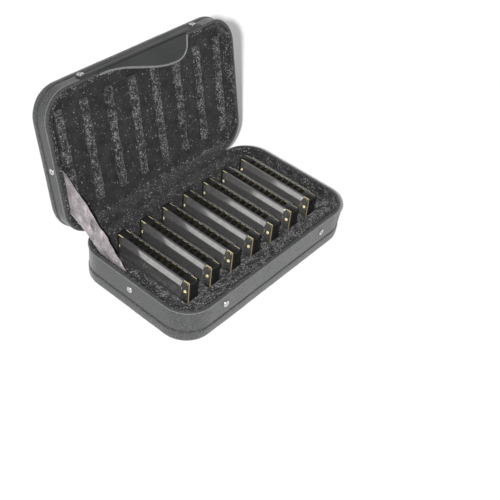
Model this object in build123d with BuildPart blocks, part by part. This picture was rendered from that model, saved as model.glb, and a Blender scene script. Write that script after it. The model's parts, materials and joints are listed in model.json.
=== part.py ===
"""A soft-covered harmonica case that stands open, with seven harmonicas in its tray.

Millimetres, +Z up. The origin is the centre of the base's footprint, on its underside.
X runs from left to right, and Y from the front to the hinge at the rear.
"""

from build123d import *
from math import atan2, cos, radians, sin, tan
import os

# ---- the case ----
case_length = 254.0  # left to right over the wall covers
case_depth = 152.0  # front to rear over the wall covers
corner_radius = 30.0  # of the wall covers, seen from above
base_height = 42.0  # underside to rim
lid_height = 24.0  # rim to top
rim_gap = 0.4  # between the two rims when the lid is shut
lid_open_angle = 102.0  # how far the stay lets the lid open
hinge_drop = 5.2  # hinge line below the base's rim
hinge_proud = 0.4  # hinge line behind the wall covers

# ---- walls, from the outside in ----
cover_thickness = 1.0  # outer fabric
board_thickness = 2.2  # stiffener board
lining_thickness = 1.6  # plush
glue_gap = 0.05  # between two glued or sewn layers
lining_gap = 0.1  # between the board and what is fitted inside it
edge_bulge = 0.8  # how far the padded end covers stand out past the wall covers
edge_round = 5.0  # of the end covers' outer edges
board_round = 3.5  # of the boards' outer edges
base_seam_depth = 26.5  # rim to the seam between wall cover and bottom cover
lid_seam_depth = 14.0  # rim to the seam between wall cover and top cover
seam_width = 1.1  # height of the cord in each seam

# ---- rims ----
binding_thickness = 1.0  # over the edge of the walls
binding_width = 2.2  # from the wall covers' outside inwards
binding_leg = 1.6  # depth of the binding's outer leg
binding_proud = 0.3  # how far the binding stands out past the wall cover
binding_round = 0.8  # of the binding's upper edges
lining_edge_round = 0.45  # of the plush that lies over the rim beside the binding
rim_piping_size = 1.1  # height of the cord under the binding
rim_piping_round = 0.45

# ---- harmonicas ----
harp_count = 7
harp_pitch = 30.6
harp_length = 100.0
harp_height = 27.0
harp_thickness = 20.0  # over both cover plates
harp_rise = 7.5  # how far the mouthpieces stand above the base's rim
hole_count = 10
hole_pitch = 7.5
hole_width = 5.2
hole_depth = 20.0
comb_thickness = 8.6
comb_corner = 1.2
plate_thickness = 1.1
plate_drop = 0.7  # reed plates end this far short of the comb's long edges
plate_inset = 2.4  # and this far short of its ends
reed_slit_width = 2.2
reed_slit_low = 4.0  # lower end of the reed slits, above the harmonica's back edge
reed_slit_long = 15.0
reed_slit_step = 0.4  # each slit is this much shorter than the one before it
cover_length = 82.0
cover_sheet = 0.5
cover_crest = 6.75  # middle of the comb to the bend beside the mouthpiece
cover_face_height = 22.5  # flat face of the cover plates, up from the back edge
cover_drop = 0.1  # cover plates end this far short of the mouthpiece edge
cover_lift = 2.0  # and this far above the back edge
flange_reach = 5.7  # flat ends of the cover plates, past their raised part
flange_drop = 1.9  # flat ends stop this far below the mouthpiece edge
flange_corner = 2.4
screw_inset = 6.1  # from the comb's ends
screw_level = 14.5  # up from the back edge
screw_radius = 0.7
screw_head_radius = 1.7
screw_head_height = 0.7
screw_clearance = 0.05

# ---- tray of the base ----
tray_depth = 12.0  # rim to the plush surface between the harmonicas
slot_clearance = 0.6  # round each harmonica
slot_lining = 1.2  # plush in the slots
seat_gap = 0.3  # under each harmonica

# ---- pad of the lid ----
pad_depth = 10.0  # rim to the plush surface over the harmonicas
ridge_depth = 5.0  # rim to the crest of the ridges
ridge_clearance = 0.8  # between a ridge and the harmonicas beside it
ridge_overrun = 4.0  # ridges run this far past the harmonicas at each end
ridge_round = 2.6

# ---- rivets ----
rivet_spacing = 150.0  # between the two rivets of each front wall
base_rivet_depth = 13.5  # rim to rivet
lid_rivet_depth = 7.2
rivet_head_radius = 3.5
rivet_head_height = 1.2
rivet_dome = 0.85  # rounding of the head's edge
rivet_bore_radius = 1.1
rivet_bore_depth = 1.0
rivet_shank_radius = 1.5
rivet_clearance = 0.1
washer_thickness = 0.6
clinch_radius = 2.4
clinch_height = 0.4
pocket_clearance = 0.5  # round the washers, behind the plush

# ---- front flap ----
strap_thickness = 1.6
strap_gap = 0.4  # between the strap and the wall cover
strap_end = 5.5  # strap beyond each rivet
strap_height = 11.5  # up the lid's front wall
strap_corner = 5.0
flap_left_end = 13.0  # flap ends this far inside the left rivet
flap_right_end = 18.0  # and this far inside the right one
flap_narrow = 4.0  # fold to free edge at the left end
flap_wide = 27.0  # fold to free edge at the right end
flap_corner = 13.0  # at the wide end
flap_small_corner = 2.5  # at the narrow end
fold_gap = 0.3  # between the riveted part and the free part
fold_depth = 1.3  # fold line outside the lid's rim
welt_radius = 1.2

# ---- fabric at the hinge ----
hinge_strip_thickness = 0.8
hinge_strip_end = 2.0  # strips end this far inside the straight stretch of the rear wall
hinge_lining_overlap = 5.0  # inner strip over each plush wall

# ---- fabric stay on the left ----
stay_thickness = 0.8
stay_front = 4.0  # Y of the stay's free edge, in each half
stay_gap = 0.4  # between the stay and the plush walls
stay_hold = 2.5  # how far the stay reaches down the plush inside each rim
stay_lean = 2.6  # slope of the stay towards the hinge, on its way up to the rim
stay_arc_end = 48.0  # how far the stay follows the rounded corner, in degrees
stay_arc_steps = 4
stay_straight_steps = 3

# ---- worked out from the sizes above ----
board_inset = cover_thickness
cavity_inset = board_inset + board_thickness
lining_inset = cavity_inset + lining_gap
inner_inset = lining_inset + lining_thickness
board_top = binding_thickness + glue_gap
harp_bottom = base_height + harp_rise - harp_height
harp_places = [(n - (harp_count - 1) / 2) * harp_pitch for n in range(harp_count)]
plates_thickness = comb_thickness + 2 * plate_thickness
slot_length = harp_length + 2 * slot_clearance
slot_width = harp_thickness + 2 * slot_clearance
slot_floor_depth = base_height - harp_bottom + seat_gap

hinge_y = case_depth / 2 + hinge_proud
hinge_z = base_height - hinge_drop
lid_rise = hinge_drop + rim_gap  # hinge line to the lid's rim
turn = radians(lid_open_angle)
lid_out = Vector(0, sin(turn), cos(turn))  # from the lid's rim towards its top
lid_back = Vector(0, cos(turn), -sin(turn))  # from the lid's front wall towards its rear wall
hinge_point = Vector(0, hinge_y, hinge_z)

# each half is built from its rim: local Z is the depth from the rim into that half
base_rim = Plane(origin=(0, 0, base_height), x_dir=(1, 0, 0), z_dir=(0, 0, -1))
lid_rim = Plane(
    origin=hinge_point - lid_back * hinge_y + lid_out * lid_rise,
    x_dir=(1, 0, 0),
    z_dir=lid_out,
)
BASE_FRONT = 1  # the side of local Y on which each half has its front wall
LID_FRONT = -1


def keep(piece, name):
    """Names a finished piece and writes it to its own file."""
    piece.part.label = name
    export_step(piece.part, f"parts/{name}.step")


def outline(inset, mode=Mode.ADD):
    """The case's outline on the current sketch, moved in from the wall covers."""
    return RectangleRounded(
        case_length - 2 * inset, case_depth - 2 * inset, corner_radius - inset, mode=mode
    )


def block(rim, inset, near, far, far_round=0.0):
    """A full slab of the case's outline, between two depths, with its far edge rounded."""
    with BuildPart() as slab:
        with BuildSketch(rim.offset(near)):
            outline(inset)
        extrude(amount=far - near)
        if far_round:
            away = Axis(rim.origin, rim.z_dir)
            fillet(slab.faces().sort_by(away)[-1].edges(), far_round)
    return slab


def ring(rim, outer, inner, near, far):
    """A band round the case between two insets and two depths."""
    with BuildPart() as band:
        with BuildSketch(rim.offset(near)):
            outline(outer)
            outline(inner, Mode.SUBTRACT)
        extrude(amount=far - near)
    return band


def wall_planes(rim, front, depth):
    """Planes on the outside of the walls where the rivets go: two in front, one on each side."""
    front_y = front * case_depth / 2
    facing = rim.y_dir * front
    places = [
        (rim.from_local_coords(Vector(x, front_y, depth)), facing)
        for x in (-rivet_spacing / 2, rivet_spacing / 2)
    ]
    for side in (-1, 1):
        where = rim.from_local_coords(Vector(side * case_length / 2, 0, depth))
        places.append((where, rim.x_dir * side))
    return [Plane(origin=where, z_dir=out) for where, out in places]


base_walls = wall_planes(base_rim, BASE_FRONT, base_rivet_depth)
lid_walls = wall_planes(lid_rim, LID_FRONT, lid_rivet_depth)
strap_walls = lid_walls[:2]


def drill_rivet_holes(planes, length):
    """Holes for the rivets' shanks, from the outside of the walls inwards."""
    with BuildSketch(*planes) as holes:
        Circle(rivet_shank_radius + rivet_clearance)
    extrude(holes.sketch, amount=-length, mode=Mode.SUBTRACT)


def cut_washer_pockets(planes):
    """Room behind the plush for the washers and the clinched ends of the rivets."""
    depth = washer_thickness + clinch_height + rivet_clearance
    with BuildSketch(*[plane.offset(-cavity_inset) for plane in planes]) as pockets:
        Circle(rivet_head_radius + pocket_clearance)
    extrude(pockets.sketch, amount=-depth, mode=Mode.SUBTRACT)


# ---- layers that both halves have ----


def make_board(rim, height, planes):
    """The stiffener: an open tray of board, drilled for the rivets."""
    far = height - cover_thickness - glue_gap
    whole = block(rim, board_inset, board_top, far, board_round)
    with BuildPart() as board:
        add(whole.part)
        with BuildSketch(rim.offset(board_top)):
            outline(cavity_inset)
        extrude(amount=far - board_thickness - board_top, mode=Mode.SUBTRACT)
        drill_rivet_holes(planes, cavity_inset + lining_gap)
    return board


def make_wall_cover(rim, seam_depth, planes):
    """The smooth band of fabric between the rim and the seam."""
    near = binding_leg + rim_piping_size + 2 * glue_gap
    with BuildPart() as cover:
        add(ring(rim, 0, board_inset - glue_gap, near, seam_depth - seam_width / 2).part)
        drill_rivet_holes(planes, cavity_inset)
    return cover


def make_end_cover(rim, height, seam_depth):
    """The fabric over the bottom or top, with its padded edge rolled up to the seam."""
    near = seam_depth + seam_width / 2
    far = height
    rolled = min(edge_round, far - near - seam_width - glue_gap)
    whole = block(rim, -edge_bulge, near, far, rolled)
    room = block(rim, board_inset - glue_gap, near, far - cover_thickness, board_round)
    with BuildPart() as cover:
        add(whole.part)
        lip = cover.faces().sort_by(Axis(rim.origin, rim.z_dir))[0].edges()
        fillet(lip, seam_width)
        add(room.part, mode=Mode.SUBTRACT)
    return cover


def make_seam_piping(rim, seam_depth):
    """The thin cord sewn into the seam, a little behind the covers."""
    half = seam_width / 2 - glue_gap
    recess = seam_width / 4
    band = ring(rim, recess, board_inset - glue_gap, seam_depth - half, seam_depth + half)
    return band


def make_rim_binding(rim):
    """The bound edge: a band over the walls with a leg down their outside."""
    with BuildPart() as binding:
        add(ring(rim, -binding_proud, binding_width, 0, binding_thickness).part)
        add(ring(rim, -binding_proud, board_inset - glue_gap, 0, binding_leg).part)
        top = binding.faces().sort_by(Axis(rim.origin, rim.z_dir))[0]
        fillet(top.edges(), binding_round)
    return binding


def make_rim_piping(rim):
    """The cord that runs round the case just under the binding."""
    near = binding_leg + glue_gap
    with BuildPart() as piping:
        add(
            ring(
                rim,
                -binding_proud,
                board_inset - glue_gap,
                near,
                near + rim_piping_size,
            ).part
        )
        away = Axis(rim.origin, rim.z_dir)
        for face in (piping.faces().sort_by(away)[0], piping.faces().sort_by(away)[-1]):
            fillet(face.outer_wire().edges(), rim_piping_round)
    return piping


def make_lining_walls(rim, floor_depth):
    """The plush up the inside of the walls and over their edge to the binding."""
    with BuildPart() as walls:
        add(ring(rim, binding_width + glue_gap, inner_inset, 0, binding_thickness).part)
        add(ring(rim, lining_inset, inner_inset, 0, floor_depth).part)
        top = walls.faces().sort_by(Axis(rim.origin, rim.z_dir))[0]
        fillet(top.edges(), lining_edge_round)
    return walls


def make_rivets(planes, stacks):
    """Tubular rivets: a domed head with a bore, a shank and a clinched end."""
    with BuildPart() as rivets:
        for plane, stack in zip(planes, stacks):
            head = plane.offset(stack + glue_gap)
            with BuildSketch(head):
                Circle(rivet_head_radius)
            extrude(amount=rivet_head_height)
            dome = rivets.faces().sort_by(Axis(head.origin, head.z_dir))[-1].edges()
            fillet(dome, rivet_dome)
            with BuildSketch(head):
                Circle(rivet_shank_radius)
            shank = stack + glue_gap + cavity_inset + washer_thickness + rivet_clearance / 2
            extrude(amount=-shank)
            with BuildSketch(head.offset(-shank)):
                Circle(clinch_radius)
            extrude(amount=-clinch_height)
            with BuildSketch(head.offset(rivet_head_height)):
                Circle(rivet_bore_radius)
            extrude(amount=-rivet_bore_depth, mode=Mode.SUBTRACT)
    return rivets


def make_washers(planes):
    """A flat washer on each shank, against the inside of the board."""
    with BuildPart() as washers:
        with BuildSketch(*[plane.offset(-cavity_inset) for plane in planes]):
            Circle(rivet_head_radius)
            Circle(rivet_shank_radius + rivet_clearance, mode=Mode.SUBTRACT)
        extrude(amount=-washer_thickness)
    return washers


# ---- tray of the base ----


def slot_cut(near, far, extra):
    """Cuts the harmonicas' slots between two depths, with room for the plush where extra is set."""
    with BuildSketch(base_rim.offset(near)) as slots:
        with Locations(*[(x, 0) for x in harp_places]):
            Rectangle(slot_width + 2 * extra, slot_length + 2 * extra)
    extrude(slots.sketch, amount=far - near, mode=Mode.SUBTRACT)


divider_top = tray_depth + lining_thickness + glue_gap
divider_floor = slot_floor_depth + slot_lining + glue_gap
base_cavity_floor = base_height - cover_thickness - glue_gap - board_thickness
lid_cavity_floor = lid_height - cover_thickness - glue_gap - board_thickness


def make_base_foam_pad():
    """The plain sheet of foam under the slots."""
    return block(
        base_rim, lining_inset, divider_floor + glue_gap, base_cavity_floor - glue_gap
    )


def make_base_foam_divider():
    """The die-cut sheet of foam whose slots hold the harmonicas."""
    sheet = block(base_rim, lining_inset, divider_top, divider_floor)
    with BuildPart() as divider:
        add(sheet.part)
        slot_cut(divider_top, divider_floor, slot_lining + glue_gap)
        cut_washer_pockets(base_walls)
    return divider


def make_base_lining():
    """The plush: up the walls, over the divider and down into each slot."""
    walls = make_lining_walls(base_rim, tray_depth)
    surface = block(
        base_rim, lining_inset, tray_depth, tray_depth + lining_thickness
    )
    with BuildPart() as lining:
        add(walls.part)
        add(surface.part)
        with BuildSketch(base_rim.offset(tray_depth)):
            with Locations(*[(x, 0) for x in harp_places]):
                Rectangle(slot_width + 2 * slot_lining, slot_length + 2 * slot_lining)
        extrude(amount=slot_floor_depth + slot_lining - tray_depth)
        slot_cut(tray_depth, slot_floor_depth, 0)
        cut_washer_pockets(base_walls)
    return lining


# ---- pad of the lid ----

ridge_width = harp_pitch - harp_thickness - 2 * ridge_clearance
ridge_places = [(n - harp_count / 2) * harp_pitch for n in range(harp_count + 1)]
ridge_core = ridge_width - 2 * lining_thickness
ridge_length = harp_length + 2 * ridge_overrun
crest_round = min(ridge_round, ridge_width / 2 - glue_gap)
core_round = min(ridge_round - lining_thickness, ridge_core / 2 - glue_gap)


def ridge_bars(near, far, width, length, edge):
    """Bars across the lid between the harmonicas, with rounded crests."""
    with BuildPart() as bars:
        with BuildSketch(lid_rim.offset(far)):
            with Locations(*[(x, 0) for x in ridge_places]):
                Rectangle(width, length)
        extrude(amount=near - far)
        crest = bars.faces().group_by(Axis(lid_rim.origin, lid_rim.z_dir))[0]
        fillet(crest.edges(), edge)
    return bars


def make_lid_foam_pad():
    """The plain sheet of foam against the lid's board."""
    near = pad_depth + lining_thickness + glue_gap
    return block(lid_rim, lining_inset, near, lid_cavity_floor - glue_gap)


def make_lid_foam_ridges():
    """Foam strips on the pad, one between each two harmonicas and one at each end."""
    return ridge_bars(
        ridge_depth + lining_thickness,
        pad_depth + lining_thickness,
        ridge_core,
        ridge_length - 2 * lining_thickness,
        core_round,
    )


def make_lid_lining():
    """The plush: down the walls, over the pad and up over each ridge."""
    walls = make_lining_walls(lid_rim, pad_depth)
    surface = block(lid_rim, lining_inset, pad_depth, pad_depth + lining_thickness)
    outside = ridge_bars(
        ridge_depth, pad_depth + lining_thickness, ridge_width, ridge_length, crest_round
    )
    inside = ridge_bars(
        ridge_depth + lining_thickness - glue_gap,
        pad_depth + lining_thickness,
        ridge_core + 2 * glue_gap,
        ridge_length - 2 * lining_thickness + 2 * glue_gap,
        core_round,
    )
    with BuildPart() as lining:
        add(walls.part)
        add(surface.part)
        add(outside.part)
        add(inside.part, mode=Mode.SUBTRACT)
        cut_washer_pockets(lid_walls)
    return lining


# ---- front flap: a strap riveted to the lid, whose free half folds over the rim ----

strap_face = case_depth / 2 + strap_gap
strap_stack = strap_gap + strap_thickness  # wall cover to the strap's outside
strap_near = fold_gap + strap_thickness / 2 - fold_depth
fold_y = -strap_face - strap_thickness  # the fold line is level with the strap's outside
flap_left = flap_left_end - rivet_spacing / 2
flap_right = rivet_spacing / 2 - flap_right_end
flap_slope = atan2(flap_wide - flap_narrow, flap_right - flap_left)


def make_strap():
    """The part of the strap that lies on the lid's front wall."""
    wall = Plane(
        origin=lid_rim.from_local_coords(Vector(0, -strap_face, 0)),
        x_dir=(1, 0, 0),
        z_dir=-lid_back,
    )
    with BuildPart() as strap:
        with BuildSketch(wall):
            with Locations((0, (strap_near + strap_height) / 2)):
                Rectangle(rivet_spacing + 2 * strap_end, strap_height - strap_near)
        extrude(amount=strap_thickness)
        ends = strap.edges().filter_by(Axis(wall.origin, lid_back))
        fillet(ends.group_by(Axis(lid_rim.origin, lid_out))[-1], strap_corner)
        drill_rivet_holes([plane.offset(strap_stack) for plane in strap_walls], strap_stack)
    return strap


def make_flap():
    """The free part, which hangs from the fold and lies over the rim when the lid is open."""
    with BuildPart() as flap:
        with BuildSketch(lid_rim.offset(-fold_depth - strap_thickness / 2)) as cut:
            with BuildLine():
                Polyline(
                    (flap_left, fold_y),
                    (flap_left, fold_y + flap_narrow),
                    (flap_right, fold_y + flap_wide),
                    (flap_right, fold_y),
                    close=True,
                )
            make_face()
            fillet(cut.vertices().sort_by(Axis.Y)[-1], flap_corner)
            left_end = cut.vertices().group_by(Axis.X)[0]
            fillet(left_end.sort_by(Axis.Y)[-1], flap_small_corner)
        extrude(amount=strap_thickness)
        root = flap.faces().sort_by(Axis(lid_rim.origin, lid_back))[0].edges()
        fillet(root.filter_by(Axis.X), strap_thickness / 2 - glue_gap)
    return flap


def make_flap_welt():
    """The piped cord along the flap's free edge and back up its wide end."""
    beside = welt_radius / cos(flap_slope)
    side_x = flap_right + welt_radius
    start_y = fold_y + flap_narrow + beside
    far_y = fold_y + flap_wide + beside + welt_radius * tan(flap_slope)
    end_y = fold_y + strap_thickness + glue_gap
    start_x = flap_left + flap_small_corner
    start_y += flap_small_corner * tan(flap_slope)
    middle = lid_rim.offset(-fold_depth)
    with BuildPart() as welt:
        with BuildLine(middle):
            FilletPolyline(
                (start_x, start_y),
                (side_x, far_y),
                (side_x, end_y),
                radius=flap_corner + welt_radius,
            )
        start = middle.from_local_coords(Vector(start_x, start_y, 0))
        along = lid_rim.x_dir * cos(flap_slope) + lid_back * sin(flap_slope)
        with BuildSketch(Plane(origin=start, z_dir=along)):
            Circle(welt_radius)
        sweep()
    return welt


# ---- fabric at the hinge and the stay ----


def lid_spot(y, depth):
    """Y and Z of a point of the lid at rest, given from its rim."""
    spot = lid_rim.from_local_coords(Vector(0, y, depth))
    return (spot.Y, spot.Z)


def make_strip(route, thickness, bend):
    """A strip of cloth along the rear wall, from its route in the YZ plane."""
    straight = case_length - 2 * corner_radius - 2 * hinge_strip_end
    with BuildPart() as strip:
        with BuildSketch(Plane.YZ.offset(-straight / 2)):
            with BuildLine():
                FilletPolyline(*route, radius=bend)
            trace(line_width=thickness)
        extrude(amount=straight)
    return strip


def make_hinge_strip():
    """The outer strip, sewn to both rear walls from seam to seam and folded at the hinge line."""
    off = binding_proud + glue_gap + hinge_strip_thickness / 2
    y = case_depth / 2 + off
    low = base_height - base_seam_depth + seam_width
    fold = hinge_z - (y - hinge_y) * tan(turn / 2)
    route = [(y, low), (y, fold), lid_spot(y, lid_seam_depth - seam_width)]
    return make_strip(route, hinge_strip_thickness, hinge_strip_thickness)


def make_hinge_lining():
    """The plush strip inside, from one rear wall over both rims to the other."""
    half = hinge_strip_thickness / 2
    y_in = case_depth / 2 - inner_inset - half - glue_gap
    y_out = case_depth / 2
    over = half + glue_gap
    route = [
        (y_in, base_height - hinge_lining_overlap),
        (y_in, base_height + over),
        (y_out, base_height + over),
        lid_spot(y_in, -over),
        lid_spot(y_in, hinge_lining_overlap),
    ]
    return make_strip(route, hinge_strip_thickness, hinge_strip_thickness)


def stay_stations():
    """Points along the left plush wall from the free edge to the hinge, seen from above."""
    inset = inner_inset + stay_gap + stay_thickness / 2
    side_x = case_length / 2 - inset
    centre_x = case_length / 2 - corner_radius
    centre_y = case_depth / 2 - corner_radius
    lean = stay_hold * stay_lean
    points = []
    for step in range(stay_straight_steps):
        y = stay_front + (centre_y - stay_front) * step / stay_straight_steps
        points.append((-side_x, y))
    for step in range(stay_arc_steps + 1):
        bow = radians(stay_arc_end * step / stay_arc_steps)
        radius = corner_radius - inset - lean * sin(bow)
        points.append((-centre_x - radius * cos(bow), centre_y + radius * sin(bow)))
    return points


def make_stay():
    """The cloth gusset between the left rims, which holds the lid open."""
    points = stay_stations()
    lower = [Vector(x, y, base_height - stay_hold) for x, y in points]
    upper = [lid_rim.from_local_coords(Vector(x, y, stay_hold)) for x, y in points]
    with BuildPart() as stay:
        for number, (low, high) in enumerate(zip(lower, upper)):
            before = max(number - 1, 0)
            after = min(number + 1, len(points) - 1)
            along = lower[after] + upper[after] - lower[before] - upper[before]
            chord = high - low
            across = along.cross(chord)
            plane = Plane(origin=(low + high) / 2, x_dir=chord, z_dir=chord.cross(across))
            with BuildSketch(plane):
                Rectangle(chord.length, stay_thickness)
        loft(ruled=True)
    return stay


# ---- harmonicas, each standing on its back edge with the mouthpiece up ----


def station(x):
    """The upright plane of one harmonica: local X runs along it, and local Y is up."""
    return Plane(origin=(x, 0, harp_bottom), x_dir=(0, 1, 0), z_dir=(1, 0, 0))


screw_places = [(side * (harp_length / 2 - screw_inset), screw_level) for side in (-1, 1)]
screw_seat = plates_thickness / 2 + 3 * glue_gap + cover_sheet  # middle of the comb to the heads
hole_places = [(n - (hole_count - 1) / 2) * hole_pitch for n in range(hole_count)]


def make_comb(x):
    """The comb, with ten channels open at the mouthpiece."""
    with BuildPart() as comb:
        with BuildSketch(station(x).offset(-comb_thickness / 2)):
            with Locations((0, harp_height / 2)):
                RectangleRounded(harp_length, harp_height, comb_corner)
            with Locations(*[(y, harp_height) for y in hole_places]):
                Rectangle(
                    hole_width,
                    2 * hole_depth,
                    mode=Mode.SUBTRACT,
                )
            with Locations(*screw_places):
                Circle(screw_radius + screw_clearance, mode=Mode.SUBTRACT)
        extrude(amount=comb_thickness)
    return comb


def make_reed_plates(x):
    """The two reed plates, one on each side of the comb, with a slit for each reed."""
    height = harp_height - 2 * plate_drop
    with BuildPart() as plates:
        for near in (comb_thickness / 2 + glue_gap, -comb_thickness / 2 - glue_gap - plate_thickness):
            with BuildSketch(station(x).offset(near)):
                with Locations((0, harp_height / 2)):
                    Rectangle(harp_length - 2 * plate_inset, height)
                for number, y in enumerate(hole_places):
                    slit = reed_slit_long - number * reed_slit_step
                    with Locations((y, reed_slit_low + slit / 2)):
                        Rectangle(reed_slit_width, slit, mode=Mode.SUBTRACT)
                with Locations(*screw_places):
                    Circle(screw_radius + screw_clearance, mode=Mode.SUBTRACT)
            extrude(amount=plate_thickness)
    return plates


def cover_section(side, sheet):
    """A cover plate's section: X is away from the comb on the given side, Y is up."""
    foot = plates_thickness / 2 + 2 * glue_gap
    face = harp_thickness / 2 - sheet
    low = cover_lift - sheet
    top = harp_height - cover_drop - sheet
    return [
        (side * foot, low),
        (side * face, low),
        (side * face, cover_face_height),
        (side * (cover_crest - sheet / 4), top),
        (side * foot, top),
    ]


def cover_hook(side):
    """Section of the cover plate's upper edge, which lies over the reed plate to the comb."""
    comb = comb_thickness / 2 + 2 * glue_gap
    top = harp_height - cover_drop
    return [
        (side * comb, top),
        (side * cover_crest, top),
        (side * cover_crest, top - cover_sheet),
        (side * comb, top - cover_sheet),
    ]


def cover_flanges():
    """Outline of a cover plate's flat ends, with a hole for each screw."""
    height = harp_height - flange_drop - cover_lift
    with BuildSketch() as flanges:
        with Locations((0, cover_lift + height / 2)):
            RectangleRounded(cover_length + 2 * flange_reach, height, flange_corner)
            Rectangle(cover_length - 2 * cover_sheet, height, mode=Mode.SUBTRACT)
        with Locations(*screw_places):
            Circle(screw_radius + screw_clearance, mode=Mode.SUBTRACT)
    return flanges.sketch


def make_cover_plates(x):
    """The two pressed cover plates, open at the back, with a flat flange at each end."""
    front = Plane(
        origin=(x, cover_length / 2, harp_bottom), x_dir=(1, 0, 0), z_dir=(0, -1, 0)
    )
    with BuildPart() as covers:
        for side in (-1, 1):
            with BuildSketch(front):
                with BuildLine():
                    Polyline(*cover_section(side, 0), close=True)
                make_face()
                with BuildLine():
                    Polyline(*cover_hook(side), close=True)
                make_face()
            extrude(amount=cover_length)
            with BuildSketch(front.offset(cover_sheet)):
                with BuildLine():
                    Polyline(*cover_section(side, cover_sheet), close=True)
                make_face()
            extrude(amount=cover_length - 2 * cover_sheet, mode=Mode.SUBTRACT)
            foot = plates_thickness / 2 + 2 * glue_gap
            with BuildSketch(station(x).offset(foot if side > 0 else -foot - cover_sheet)):
                add(cover_flanges())
            extrude(amount=cover_sheet)
    return covers


def make_cover_screws(x):
    """Two screws through covers, reed plates and comb, with a head at each end."""
    with BuildPart() as screws:
        with BuildSketch(station(x).offset(-screw_seat)):
            with Locations(*screw_places):
                Circle(screw_radius)
        extrude(amount=2 * screw_seat)
        for near in (screw_seat, -screw_seat - screw_head_height):
            with BuildSketch(station(x).offset(near)):
                with Locations(*screw_places):
                    Circle(screw_head_radius)
            extrude(amount=screw_head_height)
    return screws


# ---- build and write every piece ----

os.makedirs("parts", exist_ok=True)

keep(make_board(base_rim, base_height, base_walls), "base_board")
keep(make_wall_cover(base_rim, base_seam_depth, base_walls), "base_wall_cover")
keep(make_end_cover(base_rim, base_height, base_seam_depth), "base_bottom_cover")
keep(make_seam_piping(base_rim, base_seam_depth), "base_seam_piping")
keep(make_rim_binding(base_rim), "base_rim_binding")
keep(make_rim_piping(base_rim), "base_rim_piping")
keep(make_base_foam_pad(), "base_foam_pad")
keep(make_base_foam_divider(), "base_foam_divider")
keep(make_base_lining(), "base_plush_lining")
keep(make_rivets(base_walls, [0, 0, 0, 0]), "base_rivets")
keep(make_washers(base_walls), "base_rivet_washers")

keep(make_board(lid_rim, lid_height, lid_walls), "lid_board")
keep(make_wall_cover(lid_rim, lid_seam_depth, lid_walls), "lid_wall_cover")
keep(make_end_cover(lid_rim, lid_height, lid_seam_depth), "lid_top_cover")
keep(make_seam_piping(lid_rim, lid_seam_depth), "lid_seam_piping")
keep(make_rim_binding(lid_rim), "lid_rim_binding")
keep(make_rim_piping(lid_rim), "lid_rim_piping")
keep(make_lid_foam_pad(), "lid_foam_pad")
keep(make_lid_foam_ridges(), "lid_foam_ridges")
keep(make_lid_lining(), "lid_plush_lining")
keep(make_rivets(lid_walls, [strap_stack, strap_stack, 0, 0]), "lid_rivets")
keep(make_washers(lid_walls), "lid_rivet_washers")

keep(make_strap(), "flap_strap")
keep(make_flap(), "front_flap")
keep(make_flap_welt(), "front_flap_welt")
keep(make_hinge_strip(), "rear_hinge_strip")
keep(make_hinge_lining(), "hinge_plush_strip")
keep(make_stay(), "lid_stay")

for number, place in enumerate(harp_places, start=1):
    keep(make_comb(place), f"harmonica_{number}_comb")
    keep(make_reed_plates(place), f"harmonica_{number}_reed_plates")
    keep(make_cover_plates(place), f"harmonica_{number}_cover_plates")
    keep(make_cover_screws(place), f"harmonica_{number}_screws")
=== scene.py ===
"""The looks of a soft-covered harmonica case that stands open with seven harmonicas in it."""

import json
import math

import bpy
from bpy.props import FloatProperty, FloatVectorProperty, PointerProperty
from bpy.types import Operator, Panel, PropertyGroup
from mathutils import Matrix, Vector, noise


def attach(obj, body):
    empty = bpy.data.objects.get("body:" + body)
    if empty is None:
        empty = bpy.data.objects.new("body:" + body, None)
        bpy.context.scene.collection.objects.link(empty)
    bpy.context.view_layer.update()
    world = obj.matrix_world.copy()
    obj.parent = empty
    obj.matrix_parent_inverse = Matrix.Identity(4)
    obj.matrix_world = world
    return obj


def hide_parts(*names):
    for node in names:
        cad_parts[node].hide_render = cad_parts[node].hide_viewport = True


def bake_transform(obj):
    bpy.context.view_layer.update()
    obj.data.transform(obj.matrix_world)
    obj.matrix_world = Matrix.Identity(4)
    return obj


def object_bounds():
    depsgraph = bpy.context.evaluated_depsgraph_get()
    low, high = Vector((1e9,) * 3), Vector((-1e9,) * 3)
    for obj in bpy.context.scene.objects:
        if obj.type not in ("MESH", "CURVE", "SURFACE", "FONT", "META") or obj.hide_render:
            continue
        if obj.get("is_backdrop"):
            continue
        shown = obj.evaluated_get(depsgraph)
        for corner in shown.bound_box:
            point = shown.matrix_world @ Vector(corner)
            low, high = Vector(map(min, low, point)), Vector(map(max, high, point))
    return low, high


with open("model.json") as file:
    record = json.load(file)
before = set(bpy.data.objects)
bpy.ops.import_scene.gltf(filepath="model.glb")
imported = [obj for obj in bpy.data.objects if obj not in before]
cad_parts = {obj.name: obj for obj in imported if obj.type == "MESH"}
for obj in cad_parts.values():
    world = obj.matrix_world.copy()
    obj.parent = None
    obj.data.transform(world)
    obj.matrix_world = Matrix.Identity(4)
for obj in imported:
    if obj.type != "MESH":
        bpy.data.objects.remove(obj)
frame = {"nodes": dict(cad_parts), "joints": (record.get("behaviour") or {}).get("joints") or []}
CAD_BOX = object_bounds()

bl_info = {
    "name": "Harmonica case",
    "version": (1, 0, 0),
    "blender": (4, 5, 0),
    "location": "View3D > Sidebar > Harmonica case",
    "description": "Cloth, plush, cords, metal and light for a hinged case with its harmonicas",
    "category": "Object",
}

MM = 0.001
CLOTH = 0.9 * MM  # thickness of the cloth and plush
RIM_GAP = 0.4 * MM  # between the two rims when the lid is shut
NODES = frame["nodes"]
HINGE = next(joint for joint in frame["joints"] if joint["name"] == "lid_hinge")
HINGE_SPOT = Vector(HINGE["pos_m"])
HARMONICAS = sum(name.endswith("_comb") for name in NODES)


# ---- sizes and colours that a user would change ----


def size(label, about, default):
    """A length in metres for a property group."""
    return FloatProperty(name=label, description=about, default=default * MM, unit="LENGTH")


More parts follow.
